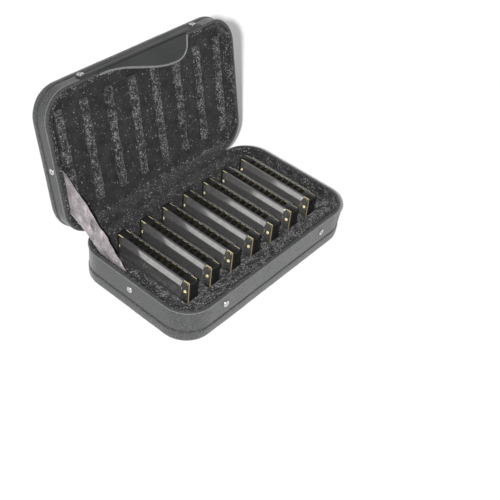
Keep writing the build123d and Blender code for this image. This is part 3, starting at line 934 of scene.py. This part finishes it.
def open_block(name, proud, bottom, width):
    """A case block without its far end, whose face at the rim is set in by a width."""
    made = case_block(name, proud, 0, bottom)
    cut_away(made, lambda f: f.normal.z > 0.98)
    choose(made, "FACE", lambda f: f.normal.z < -0.98)
    bpy.ops.mesh.inset(thickness=width)
    return made


def rim_tape(half):
    """The tape that binds the walls' edge: flat over the rim, with a leg down the outside."""
    s = sizes()
    proud = 0.3 * MM
    name = f"{half.name}_rim_tape"
    tape = open_block(name, proud, s.binding_leg, s.binding_width + proud)
    bpy.ops.mesh.delete(type="FACE")
    outer = proud + 0.01 * MM
    choose_edges(tape, lambda p: near(p.z, 0) and on_outline(p, outer))
    round_edges(0.8 * MM, 3)
    wall_grid(tape, 6 * MM, 0, 0)
    wander(tape, 14 * MM, 0.22 * MM)
    modify(tape, "SOLIDIFY", thickness=0.8 * MM, offset=-1)
    outward(tape)
    half.take(tape, "rim_binding", "rim_tape", "tape")


def inset_of(point):
    """How far a point is inside the case's outline, seen from above."""
    span_x, span_y = straight_spans()
    dx, dy = abs(point.x) - span_x, abs(point.y) - span_y
    if dx > 0 and dy > 0:
        return sizes().corner - math.hypot(dx, dy)
    return sizes().corner - max(dx, dy)


def on_outline(point, proud):
    """Whether a point lies on the case's outline, moved out by an amount."""
    return abs(inset_of(point) + proud) < 0.2 * MM


def loop_cord(half, name, node, inset, level, radius, finish):
    """A cord that runs round the whole case at one depth."""
    loop = case_block(f"{half.name}_{name}", -inset, level, level + MM)
    choose(loop, "VERT", lambda v: v.co.z > level + MM / 2)
    bpy.ops.mesh.delete(type="VERT")
    choose_all(loop)
    bpy.ops.mesh.delete(type="ONLY_FACE")
    only(loop)
    bpy.ops.object.convert(target="CURVE")
    loop.data.bevel_depth = radius
    loop.data.bevel_resolution = 2
    bpy.ops.object.convert(target="MESH")
    wall_grid(loop, 6 * MM, 0, 0)
    wander(loop, 9 * MM, 0.2 * MM)
    half.take(loop, node, "dark_cord", finish, 80)


# ---- plush linings ----


PLUSH_CELL, PLUSH_STEP = 11.8 * MM, 7 * MM  # cells before they are divided


class HARPCASE_OT_plush(Operator):
    """Plush tray with its slots, and plush pad with its ridges"""

    bl_idname = "harpcase.plush"
    bl_label = "Plush linings"

    def execute(self, context):
        base, lid = halves()
        plush_tray(base)
        plush_pad(lid)
        return {"FINISHED"}


def plush_shell(half, name):
    """The open plush box of one half, which starts on the rim beside the binding."""
    s = sizes()
    start = s.binding_width + 0.05 * MM
    shell = open_block(name, -start, MM, s.wall - start)
    lift_out(half.cavity)
    for inset, amount in ((start, 0.45 * MM), (s.wall, 0.9 * MM)):
        choose_edges(shell, lambda p: near(p.z, 0) and on_outline(p, -inset))
        round_edges(amount, 3)
    return shell


def on_rectangles(points, wide, long, middles):
    """Whether an edge's ends lie on the outline of one of the rectangles."""
    for middle in middles:
        if all(
            abs(p.x - middle) < wide / 2 + 0.05 * MM and abs(p.y) < long / 2 + 0.05 * MM
            for p in points
        ):
            on_x = all(near(abs(p.x - middle), wide / 2) for p in points)
            on_y = all(near(abs(p.y), long / 2) for p in points)
            return on_x or on_y
    return False


def plush_cells(shell, bottom):
    """Cuts a plush lining into cells down to a depth, and divides them finely."""
    s = sizes()
    reach_x, reach_y = s.length / 2 - s.wall, s.depth / 2 - s.wall
    cut_planes(shell, 0, spread(-reach_x, reach_x, PLUSH_CELL))
    cut_planes(shell, 1, spread(-reach_y, reach_y, PLUSH_CELL))
    cut_planes(shell, 2, spread(0, bottom, PLUSH_STEP))
    modify(shell, "SUBSURF", subdivision_type="SIMPLE", levels=2, render_levels=2)


def brush(obj, label, rule):
    """Writes a value for the finish at each point, from a rule on its place."""
    layer = obj.data.attributes.new(label, "FLOAT", "POINT")
    layer.data.foreach_set("value", [rule(vertex.co) for vertex in obj.data.vertices])


FULL_END, FULL_FADE = 62 * MM, 22 * MM  # where the fuller sides stop, and fade out before it


def fuller_sides(shell):
    """Pushes the lid's plush walls inwards, but for the one beside the hinge."""
    s = sizes()
    span_x, span_y = straight_spans()
    for vertex in shell.data.vertices:
        co = vertex.co
        inset = inset_of(co)
        if inset > s.wall + 0.6 * MM:
            continue
        share = clamp((inset - s.binding_width) / (s.wall - s.binding_width))
        fade = clamp((FULL_END - co.y) / FULL_FADE)
        centre = Vector((max(-span_x, min(span_x, co.x)), max(-span_y, min(span_y, co.y)), co.z))
        inwards = (centre - co).normalized()
        uneven = 0.75 + 0.5 * noise.noise(co * 45)
        vertex.co = co + inwards * (s.pad_roll * share * fade * uneven)


def below_rim(shell):
    """Presses the plush on the rim flat, so that the halves can shut on it."""
    for vertex in shell.data.vertices:
        vertex.co.z = max(vertex.co.z, 0.1 * MM + vertex.co.z * 0.02)


def soft_steps(half, shell, wide, long, middles, to, crest, edge):
    """Presses slots into the plush floor, or ridges out of it, and rounds their crests."""
    for middle in middles:
        cut_planes(shell, 0, [middle - wide / 2, middle + wide / 2])
    cut_planes(shell, 1, [-long / 2, long / 2])

    def inside(face):
        c = face.center
        beside = min(abs(c.x - middle) for middle in middles)
        return near(c.z, half.cavity) and beside < wide / 2 and abs(c.y) < long / 2

    choose(shell, "FACE", inside)
    lift_out(to - half.cavity)
    choose_edges(
        shell,
        lambda p: near(p.z, crest),
        lambda *pair: on_rectangles(pair, wide, long, middles),
    )
    round_edges(edge, 3)
    plush_cells(shell, max(to, half.cavity))


def finish_plush(half, shell, grain, glint_share_at):
    """Gives a lining its unevenness, thickness and share of painted glints, and hands it over."""
    wander(shell, grain, softness().plush_play)
    wander(shell, 2.2 * MM, softness().plush_play * 0.6)
    modify(shell, "SOLIDIFY", thickness=CLOTH, offset=-1)
    below_rim(shell)
    brush(shell, "nap", glint_share_at)
    half.take(shell, "plush_lining", "plush", "plush", 70)


def plush_tray(half):
    """Plush of the base: walls, floor and the seven slots."""
    s = sizes()
    shell = plush_shell(half, "plush_tray")
    middles, edge = harmonica_places(), 1.4 * MM
    soft_steps(
        half, shell, s.slot_width, s.slot_length, middles, s.slot_depth, half.cavity, edge
    )

    # Share of painted glints: few in the slots, some by the walls, more towards the front of the
    # floor.
    def glint_share_at(co):
        if co.z > s.tray_depth + 1.5 * MM:
            return 0.05
        if inset_of(co) < s.wall + 2 * MM:
            return 0.35
        return 0.2 + 0.75 * clamp((co.y + 40 * MM) / (70 * MM))

    finish_plush(half, shell, 16 * MM, glint_share_at)


def plush_pad(half):
    """Plush of the lid: walls, floor and the soft ridges that lie between the harmonicas."""
    s = sizes()
    middles = [(n - HARMONICAS / 2) * s.pitch for n in range(HARMONICAS + 1)]
    shell = plush_shell(half, "plush_pad")
    crest, edge = s.ridge_depth, 2.4 * MM
    soft_steps(half, shell, s.ridge_width, s.ridge_length, middles, crest, crest, edge)
    reach_x, reach_y = middles[-1] + s.ridge_width / 2 + 1.4 * MM, s.ridge_length / 2 + 2 * MM
    choose(
        shell,
        "VERT",
        lambda v: v.co.z < half.cavity - 0.3 * MM
        and abs(v.co.x) < reach_x
        and abs(v.co.y) < reach_y,
    )
    bpy.ops.object.vertex_group_assign_new()
    only_none()
    fuller_sides(shell)
    wander(shell, 10 * MM, softness().ridge_play, "X", shell.vertex_groups[0].name)

    # Share of painted glints: most on the ridges, some by the walls, few on the floor.
    def glint_share_at(co):
        inset = inset_of(co)
        if inset < s.wall + 4.5 * MM:
            return 0.42
        if co.z < half.cavity - 1.4 * MM and inset > s.wall + 8 * MM:
            return 0.85
        return 0.07

    finish_plush(half, shell, 14 * MM, glint_share_at)


# ---- cloth at the hinge ----


class HARPCASE_OT_hinge(Operator):
    """Cloth strip behind the hinge and plush strip inside it"""

    bl_idname = "harpcase.hinge"
    bl_label = "Hinge strips"

    def execute(self, context):
        for node, name, slot, finish in (
            ("rear_hinge_strip", "hinge_cloth", "case_fabric", "cloth"),
            ("hinge_plush_strip", "hinge_plush", "plush", "plush"),
        ):
            strip = cad_copy(node, name)
            modify(strip, "REMESH", mode="VOXEL", voxel_size=0.5 * MM)
            modify(strip, "DECIMATE", ratio=0.35)
            wander(strip, 7 * MM, 0.5 * MM)
            wander(strip, 2 * MM, 0.3 * MM)
            # A small share of painted glints on the hinge plush.
            brush(strip, "nap", lambda co: 0.2)
            hand_over(strip, None, node, finish, None, 70)
            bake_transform(strip)
        return {"FINISHED"}


# ---- the stay ----


STAY_ARC = math.radians(48)  # how far the stay follows the rounded corner
STAY_ROWS, STAY_COLUMNS = 56, 150


class HARPCASE_OT_stay(Operator):
    """Satin gusset between the left rims"""

    bl_idname = "harpcase.stay"
    bl_label = "Stay"

    def execute(self, context):
        base, lid = halves()
        cells = {"x_subdivisions": STAY_COLUMNS, "y_subdivisions": STAY_ROWS}
        stay = start_from("grid", "stay_satin", size=1, **cells)
        places = [(vertex.co.x + 0.5, vertex.co.y + 0.5) for vertex in stay.data.vertices]
        # The fold's strength is written for the satin's painted shade.
        brush(stay, "fold", lambda co: stay_fold(co.x + 0.5, co.y + 0.5))
        for vertex, (rise, way) in zip(stay.data.vertices, places):
            vertex.co = stay_spot(base, lid, rise, way)
        modify(stay, "SOLIDIFY", thickness=0.3 * MM, offset=0)
        outward(stay)
        hand_over(stay, None, "lid_stay", "satin", None, 70)
        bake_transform(stay)
        return {"FINISHED"}


def stay_route(start, way, more):
    """A point beside the left plush wall, seen from above, from the free edge to the hinge."""
    s = sizes()
    inset = s.wall + 0.8 * MM + more * (1 - way)
    radius = s.corner - inset
    centre = Vector(straight_spans())
    straight = centre.y - start
    past = way * (straight + radius * STAY_ARC) - straight
    if past < 0:
        return Vector((inset - s.length / 2, centre.y + past))
    bow = past / radius
    lean = 6.5 * MM * math.sin(bow)
    reach = radius - lean
    return Vector((-centre.x - reach * math.cos(bow), centre.y + reach * math.sin(bow)))


def stay_fold(rise, way):
    """1 in the short fold near the stay's middle, where it is pinched, and 0 away from it."""
    past = (rise - 0.43 - 0.10 * math.sin(way * 9)) / 0.045
    return math.exp(-(past**2)) * math.exp(-(((way - 0.25) / 0.35) ** 2))


def stay_spot(base, lid, rise, way):
    """A point of the creased stay: rise goes from base to lid, way from free edge to hinge."""
    s, soft = sizes(), softness()
    low = stay_route(s.stay_base_y, way, 0)
    high = stay_route(s.stay_lid_y, way, s.pad_roll)
    start = base.place @ Vector((low.x, -low.y, s.stay_hold))
    end = lid.place @ Vector((high.x, high.y, s.stay_hold))
    spot = start.lerp(end, rise)
    chord = (end - start).length
    loose = min(1, rise * chord / (9 * MM), (1 - rise) * chord / (6 * MM))
    open_part = 1 - way * 0.75
    lengthwise = noise.noise(Vector((rise * 3.0, way * 11, 4.0)))
    across = noise.noise(Vector((rise * 9.0, way * 4.0, 9.0)))
    fine = noise.noise(Vector((rise * 22.0, way * 26, 2.0)))
    creases = 1 - 2 * abs(lengthwise) + 0.7 * (1 - 2.4 * abs(across)) + 0.5 * fine
    middle = stay_fold(rise, way)
    bow = soft.stay_bow * math.sin(rise * math.pi) ** 2
    push = bow * open_part + soft.stay_creases * (0.5 * creases - 0.9 * middle) * open_part
    spot.x += max(push, -0.2 * MM) * loose
    spot.z += noise.noise(Vector((rise * 7.0, way * 7.0, 6.0))) * 0.6 * MM * loose
    return spot


# ---- the strap and its flap ----


class HARPCASE_OT_flap(Operator):
    """Riveted strap on the lid's front wall, and the free flap that lies over the rim"""

    bl_idname = "harpcase.flap"
    bl_label = "Strap and flap"

    def execute(self, context):
        lid = halves()[1]
        strap = cad_copy("flap_strap", "leather_strap")
        soften(strap, 0.45 * MM, 2, 35)
        hand_over(strap, "lid", "flap_strap", "leather", None, 50)
        leather_flap(lid)
        return {"FINISHED"}


# The flap lies in the lid's frame. Its reach is taken from its fold.
FLAP_LEFT, FLAP_RIGHT = -62 * MM, 57 * MM
FLAP_NARROW, FLAP_WIDE = 3 * MM, 25.5 * MM
FLAP_CORNER, FLAP_TIP = 13 * MM, 5 * MM
FLAP_RISE, FLAP_SLOPE = -55 * MM, 95 * MM  # where the flap starts to widen, and over which length
FLAP_CURL = 1.2 * MM  # how far the flap bends round its fold
WELT_POINTS = 90
FOLD_Y, FOLD_DEPTH = -78 * MM, -1.3 * MM


def flap_reach(x):
    """How far the flap's free edge is from its fold, at a place along it."""
    share = clamp((x - FLAP_RISE) / FLAP_SLOPE)
    reach = FLAP_NARROW + (FLAP_WIDE - FLAP_NARROW) * share * share * (3 - 2 * share)
    past = (x - (FLAP_RIGHT - FLAP_CORNER)) / FLAP_CORNER
    if past > 0:
        reach -= FLAP_CORNER * (1 - math.sqrt(max(0, 1 - past * past)))
    start = (x - FLAP_LEFT) / FLAP_TIP
    if start < 1:
        reach *= 0.35 + 0.65 * math.sqrt(max(0, 1 - (1 - start) ** 2))
    return reach


def flap_spot(x, reach):
    """A point of the flap's middle layer in the lid's frame, at a distance from its fold."""
    if reach < FLAP_CURL:
        bow = (FLAP_CURL - reach) / FLAP_CURL * math.pi / 2
        y = FOLD_Y + 1.7 * MM - 0.8 * MM * math.sin(bow)
        return Vector((x, y, FOLD_DEPTH + 0.45 * MM * (1 - math.cos(bow))))
    share = max(0, reach - 4 * MM) / (21 * MM)
    slack = 0.35 * math.sin(x * 95 + 1) + 0.8 * noise.noise(Vector((x * 42, share * 1.6, 3.0)))
    sag = 2.2 * MM * share**1.3 + slack * share * MM
    return Vector((x, FOLD_Y + 0.5 * MM + reach, FOLD_DEPTH + sag))


def leather_flap(lid):
    """The free flap, and the rolled welt round its edge."""
    flap = start_from("grid", "leather_flap", x_subdivisions=120, y_subdivisions=26, size=1)
    for vertex in flap.data.vertices:
        x = FLAP_LEFT + (FLAP_RIGHT - FLAP_LEFT) * (vertex.co.x + 0.5)
        reach = flap_reach(x) * (vertex.co.y + 0.5)
        vertex.co = flap_spot(x, reach)
    modify(flap, "SOLIDIFY", thickness=1.1 * MM, offset=0)
    outward(flap)
    soften(flap, 0.4 * MM, 2, 50)
    hand_over(flap, None, "front_flap", "leather", lid.place, 50)
    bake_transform(flap)
    start = FLAP_LEFT + 2 * MM
    route = []
    for n in range(WELT_POINTS):
        quarter = n / (WELT_POINTS - 1) * math.pi / 2
        x = start + (FLAP_RIGHT - start) * math.sin(quarter)
        route.append(flap_spot(x, flap_reach(x)))
    route += [flap_spot(FLAP_RIGHT, end_reach) for end_reach in (10 * MM, 7 * MM, 4 * MM, 2.2 * MM)]
    curve = bpy.data.curves.new("flap_welt", "CURVE")
    curve.dimensions = "3D"
    line = curve.splines.new("POLY")
    line.points.add(len(route) - 1)
    for point, spot in zip(line.points, route):
        point.co = (*spot, 1)
    curve.bevel_depth = 1.25 * MM
    curve.bevel_resolution = 3
    curve.use_fill_caps = True
    welt = put_in(bpy.data.objects.new("flap_welt", curve))
    only(welt)
    bpy.ops.object.convert(target="MESH")
    wander(welt, 5 * MM, 0.25 * MM)
    hand_over(welt, "flap", "front_flap_welt", "welt", lid.place, 80)


# ---- rivets ----


class HARPCASE_OT_rivets(Operator):
    """Finish of the rivets and their washers"""

    bl_idname = "harpcase.rivets"
    bl_label = "Rivets"

    def execute(self, context):
        for half in ("base", "lid"):
            for node in ("rivets", "rivet_washers"):
                refinish(f"{half}_{node}", "chrome")
        return {"FINISHED"}


# ---- harmonicas ----


class HARPCASE_OT_harmonicas(Operator):
    """Combs, reed plates, cover plates and screws of all harmonicas"""

    bl_idname = "harpcase.harmonicas"
    bl_label = "Harmonicas"

    def execute(self, context):
        places = harmonica_places()
        first = places[0]
        covers = cover_pair()
        comb = cad_copy("harmonica_1_comb", "comb_model")
        soften(comb, 0.25 * MM, 2, 40)
        plates = cad_copy("harmonica_1_reed_plates", "plates_model")
        soften(plates, 0.2 * MM, 1, 40)
        screws = screw_set()
        stand = Matrix.Translation((0, 0, sizes().harp_base))
        for number, x in enumerate(places, start=1):
            body = f"harmonica_{number}"
            moved = Matrix.Translation((x - first, 0, 0))
            placed = Matrix.Translation((x, 0, 0)) @ stand
            for model, name, node, slot, finish, matrix in (
                (comb, "comb_body", "comb", "comb_plastic", "comb", moved),
                (plates, "plates", "reed_plates", "brass", "brass", moved),
                (covers, "covers", "cover_plates", "cover_metal", "cover", placed),
                (screws, "screw_set", "screws", "screw_metal", "worn brass", placed),
            ):
                piece = copy_at(model, f"{body}_{name}", matrix)
                hand_over(piece, body, f"{body}_{node}", finish, None, 35)
                if node == "reed_plates":
                    wear_and_highlight_edges(piece)
        for model in (comb, plates, covers, screws):
            bpy.data.objects.remove(model)
        return {"FINISHED"}


# Cover plates, flanges and screws of a harmonica that stands on Z = 0, with Y along it.
COVER_LENGTH, COVER_HOOK, COVER_CREST, COVER_FACE = 82 * MM, 4.4 * MM, 6.75 * MM, 10 * MM
COVER_LOW, COVER_SHOULDER, COVER_TOP = 2 * MM, 22.5 * MM, 26.9 * MM
FLANGE_SEAT, FLANGE_END, FLANGE_TOP, SHEET = 5.5 * MM, 46.7 * MM, 25.1 * MM, 0.5 * MM
SCREW_PLACE, SCREW_LEVEL, HEAD = 43.9 * MM, 14.5 * MM, 0.7 * MM


def wear_and_highlight_edges(plates):
    """Gives the reed plates' edges and ends their own, lighter finish: partly rubbed wear, partly
    painted highlight.
    """
    plates.data.materials.append(finish_of("worn brass"))
    for face in plates.data.polygons:
        face.material_index = int(abs(face.normal.x) < 0.9)


def cover_flange(side):
    """The flat, round-cornered end of a cover plate that its screw holds down."""
    inner, outer = side * (COVER_LENGTH / 2 - SHEET), side * FLANGE_END
    flange = add_block(
        "flange_model",
        (FLANGE_SEAT, min(inner, outer), COVER_LOW),
        (FLANGE_SEAT + SHEET, max(inner, outer), FLANGE_TOP),
    )
    choose_edges(flange, lambda p: near(p.y, outer), lambda a, b: abs(a.z - b.z) < 0.1 * MM)
    round_edges(2.4 * MM, 6)
    only(flange)
    soften(flange, 0.14 * MM, 2, 50)
    return flange


def cover_pair():
    """Two pressed cover plates, standing with the mouthpiece up round X = 0."""
    cover = add_block(
        "covers_model",
        (COVER_HOOK, -COVER_LENGTH / 2, COVER_LOW),
        (COVER_FACE, COVER_LENGTH / 2, COVER_TOP),
    )
    cut_planes(cover, 2, [COVER_SHOULDER])
    cut_planes(cover, 0, [COVER_CREST - 0.2 * MM])
    choose(cover, "VERT", lambda v: near(v.co.z, COVER_TOP) and near(v.co.x, COVER_FACE))
    bpy.ops.transform.translate(value=(COVER_CREST - COVER_FACE, 0, 0))
    past_crest = COVER_CREST - 0.1 * MM
    choose_edges(
        cover,
        lambda p: near(abs(p.y), COVER_LENGTH / 2) and p.x > past_crest,
        lambda a, b: abs(a.z - b.z) > MM,
    )
    round_edges(1.1 * MM, 4)
    for level, amount in ((COVER_SHOULDER, 0.8 * MM), (COVER_TOP, 0.4 * MM)):
        choose_edges(
            cover,
            lambda p: near(p.z, level) and p.x > past_crest,
            lambda a, b: abs(a.y - b.y) > 20 * MM,
        )
        round_edges(amount, 4)
    cut_away(cover, lambda f: f.normal.x < -0.98 or f.normal.z < -0.98)
    modify(cover, "SOLIDIFY", thickness=SHEET, offset=-1)
    soften(cover, 0.12 * MM, 2, 50)
    outward(cover)
    cover = join("covers_model", [cover, cover_flange(-1), cover_flange(1)])
    other = copy_at(cover, "covers_other", Matrix.Scale(-1, 4, (1, 0, 0)))
    outward(other)
    return join("covers_model", [cover, other])


def screw_head():
    """A domed head with a crossed recess, facing up."""
    radius, recess, slit = 1.7 * MM, 1.05 * MM, 0.26 * MM
    head = start_from("cylinder", "screw_head", vertices=32, radius=radius, depth=HEAD)
    choose_edges(head, lambda p: near(p.z, HEAD / 2) and near(p.xy.length, radius))
    round_edges(0.42 * MM, 4)
    for axis in (0, 1):
        cut_planes(head, axis, [-recess, -slit, slit, recess])
    choose(
        head,
        "FACE",
        lambda f: f.normal.z > 0.9
        and min(abs(f.center.x), abs(f.center.y)) < slit
        and max(abs(f.center.x), abs(f.center.y)) < recess,
    )
    lift_out(-0.4 * MM)
    only(head)
    return head


def screw_set():
    """Two screws with a head at each end, round X = 0."""
    reach = FLANGE_SEAT + SHEET + 0.05 * MM
    parts = []
    for side in (-1, 1):
        head = screw_head()
        turn = Matrix.Rotation(side * math.pi / 2, 4, "Y") @ Matrix.Rotation(0.6 * side, 4, "Z")
        settle(head, Matrix.Translation((side * (reach + HEAD / 2), 0, 0)) @ turn)
        parts.append(head)
    shank = start_from("cylinder", "shank", vertices=16, radius=0.7 * MM, depth=2 * reach)
    settle(shank, Matrix.Rotation(math.pi / 2, 4, "Y"))
    screw = join("screw_model", [*parts, shank])
    placed = [
        copy_at(screw, "screw_copy", Matrix.Translation((0, y, SCREW_LEVEL)))
        for y in (-SCREW_PLACE, SCREW_PLACE)
    ]
    bpy.data.objects.remove(screw)
    return join("screws_model", placed)


# ---- floor, light and camera ----


LIT_POINT, FILL_SPOT = Vector((0, 0.03, 0.07)), Vector((0.3, -1.2, 0.9))
KEY_WIDTH, FILL_WIDTH = 20 * MM, 800 * MM


class HARPCASE_OT_stage(Operator):
    """Pale floor, soft light and the camera"""

    bl_idname = "harpcase.stage"
    bl_label = "Stage"

    def execute(self, context):
        stage = context.scene.harpcase_stage
        context.scene.view_settings.view_transform = "Standard"
        add_floor()
        back, right, up = camera_axes(stage)
        target = Vector(stage.target)
        spot = target + back * stage.distance
        data = bpy.data.cameras.new("camera")
        data.lens = stage.lens
        data.sensor_width = 36
        data.clip_start = 0.01
        camera = put_in(bpy.data.objects.new("camera", data))
        facing = Matrix((right, up, back)).transposed().to_4x4()
        camera.matrix_world = Matrix.Translation(spot) @ facing
        context.scene.camera = camera
        beside = spot - right * stage.key_aside
        key = add_lamp("key", beside, LIT_POINT, KEY_WIDTH, stage.key_power)
        level_out(key.data)
        add_lamp("fill", FILL_SPOT, LIT_POINT, FILL_WIDTH, stage.fill_power)
        add_sky(stage.sky)
        return {"FINISHED"}


def camera_axes(stage):
    """Directions behind, right of and above the camera."""
    a, e, r = stage.azimuth, stage.elevation, stage.roll
    back = Vector((math.sin(a) * math.cos(e), -math.cos(a) * math.cos(e), math.sin(e)))
    level = Vector((0, 0, 1)).cross(back).normalized()
    over = back.cross(level)
    right = level * math.cos(r) + over * math.sin(r)
    up = over * math.cos(r) - level * math.sin(r)
    return back, right, up


def add_lamp(name, spot, target, width, power):
    """A square soft lamp that faces a point."""
    data = bpy.data.lights.new(name, "AREA")
    data.shape = "SQUARE"
    data.size = width
    data.energy = power
    lamp = put_in(bpy.data.objects.new(name, data))
    facing = (spot - target).to_track_quat("Z", "Y").to_matrix().to_4x4()
    lamp.matrix_world = Matrix.Translation(spot) @ facing
    return lamp


def level_out(data):
    """Makes a lamp equally bright near and far, so that the whole floor is lit alike."""
    data.use_nodes = True
    tree = data.node_tree
    falloff = add_node(tree, "LightFalloff", None, {"Strength": 1.0})
    feed(tree.nodes["Emission"], {"Strength": falloff.outputs["Constant"]})


def seen_directly(tree):
    """1 where the camera sees a surface itself, or in a mirror or glass."""
    path = add_node(tree, "LightPath").outputs
    straight = calc(tree, "MAXIMUM", path["Is Camera Ray"], path["Is Glossy Ray"])
    return calc(tree, "MAXIMUM", straight, path["Is Transmission Ray"])


def add_floor():
    """A large pale floor that keeps the shadow and shows white where it is lit."""
    floor = start_from("plane", "floor", size=12, location=(0, 0, -0.1 * MM))
    finish, tree = new_finish("floor", Roughness=0.9, Specular_IOR_Level=0.1)
    shade(finish, {"Base Color": solid([0.9] * 3), "Emission Color": solid([1] * 3)})
    away = add_node(tree, "VectorMath", {"operation": "LENGTH"}, {0: object_place(tree)}).outputs[1]
    near_by = ranged(tree, away, 0.16, 0.5, 0.0, 0.16)
    far_off = ranged(tree, away, 0.55, 1.4, 0.0, 0.8)
    lift = calc(tree, "MULTIPLY", seen_directly(tree), calc(tree, "ADD", near_by, far_off))
    shade(finish, {"Emission Strength": lift})
    floor.data.materials.append(finish)
    settle(floor)
    floor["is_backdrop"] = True


def add_sky(strength):
    """Even light from all round, and a white backdrop under a darker ceiling in reflections."""
    world = bpy.data.worlds.new("sky")
    bpy.context.scene.world = world
    world.use_nodes = True
    tree = world.node_tree
    place = add_node(tree, "TexCoord").outputs["Generated"]
    height = add_node(tree, "SeparateXYZ", None, {0: place}).outputs[2]
    backdrop = ranged(tree, height, 0.48, 0.62, 1.0, 0.15)
    level = ranged(tree, seen_directly(tree), 0.0, 1.0, strength, backdrop)
    feed(tree.nodes["Background"], {"Color": solid([1] * 3), "Strength": level})


# ---- panel and registration ----


class HARPCASE_PT_panel(Panel):
    """Lists the steps that build the case's looks"""

    bl_label = "Harmonica case"
    bl_idname = "HARPCASE_PT_panel"
    bl_space_type = "VIEW_3D"
    bl_region_type = "UI"
    bl_category = "Harmonica case"

    def draw(self, context):
        scene = context.scene
        for step in STEPS:
            self.layout.operator(step.bl_idname)
        for group in (getattr(scene, name) for name in PROPERTIES):
            box = self.layout.box()
            for name in group.bl_rna.properties.keys():
                if name not in ("rna_type", "name"):
                    box.prop(group, name)


STEPS = (
    HARPCASE_OT_stage,
    HARPCASE_OT_covers,
    HARPCASE_OT_edges,
    HARPCASE_OT_plush,
    HARPCASE_OT_hinge,
    HARPCASE_OT_stay,
    HARPCASE_OT_flap,
    HARPCASE_OT_rivets,
    HARPCASE_OT_harmonicas,
)
PROPERTIES = {
    "harpcase_sizes": HarpCaseSizes,
    "harpcase_softness": HarpCaseSoftness,
    "harpcase_colours": HarpCaseColours,
    "harpcase_stage": HarpCaseStage,
}


def register():
    for kind in (*PROPERTIES.values(), *STEPS, HARPCASE_PT_panel):
        bpy.utils.register_class(kind)
    for name, kind in PROPERTIES.items():
        setattr(bpy.types.Scene, name, PointerProperty(type=kind))


def unregister():
    for name in PROPERTIES:
        delattr(bpy.types.Scene, name)
    for kind in (HARPCASE_PT_panel, *reversed(STEPS), *reversed(PROPERTIES.values())):
        bpy.utils.unregister_class(kind)


def main():
    """Builds the whole scene."""
    register()
    bpy.ops.harpcase.stage()
    bpy.ops.harpcase.covers()
    bpy.ops.harpcase.edges()
    bpy.ops.harpcase.plush()
    bpy.ops.harpcase.hinge()
    bpy.ops.harpcase.stay()
    bpy.ops.harpcase.flap()
    bpy.ops.harpcase.rivets()
    bpy.ops.harpcase.harmonicas()
    boxes = {"cad": CAD_BOX, "visual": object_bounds()}
    boxes = {label: [list(corner) for corner in box] for label, box in boxes.items()}


if __name__ == "__main__":
    main()
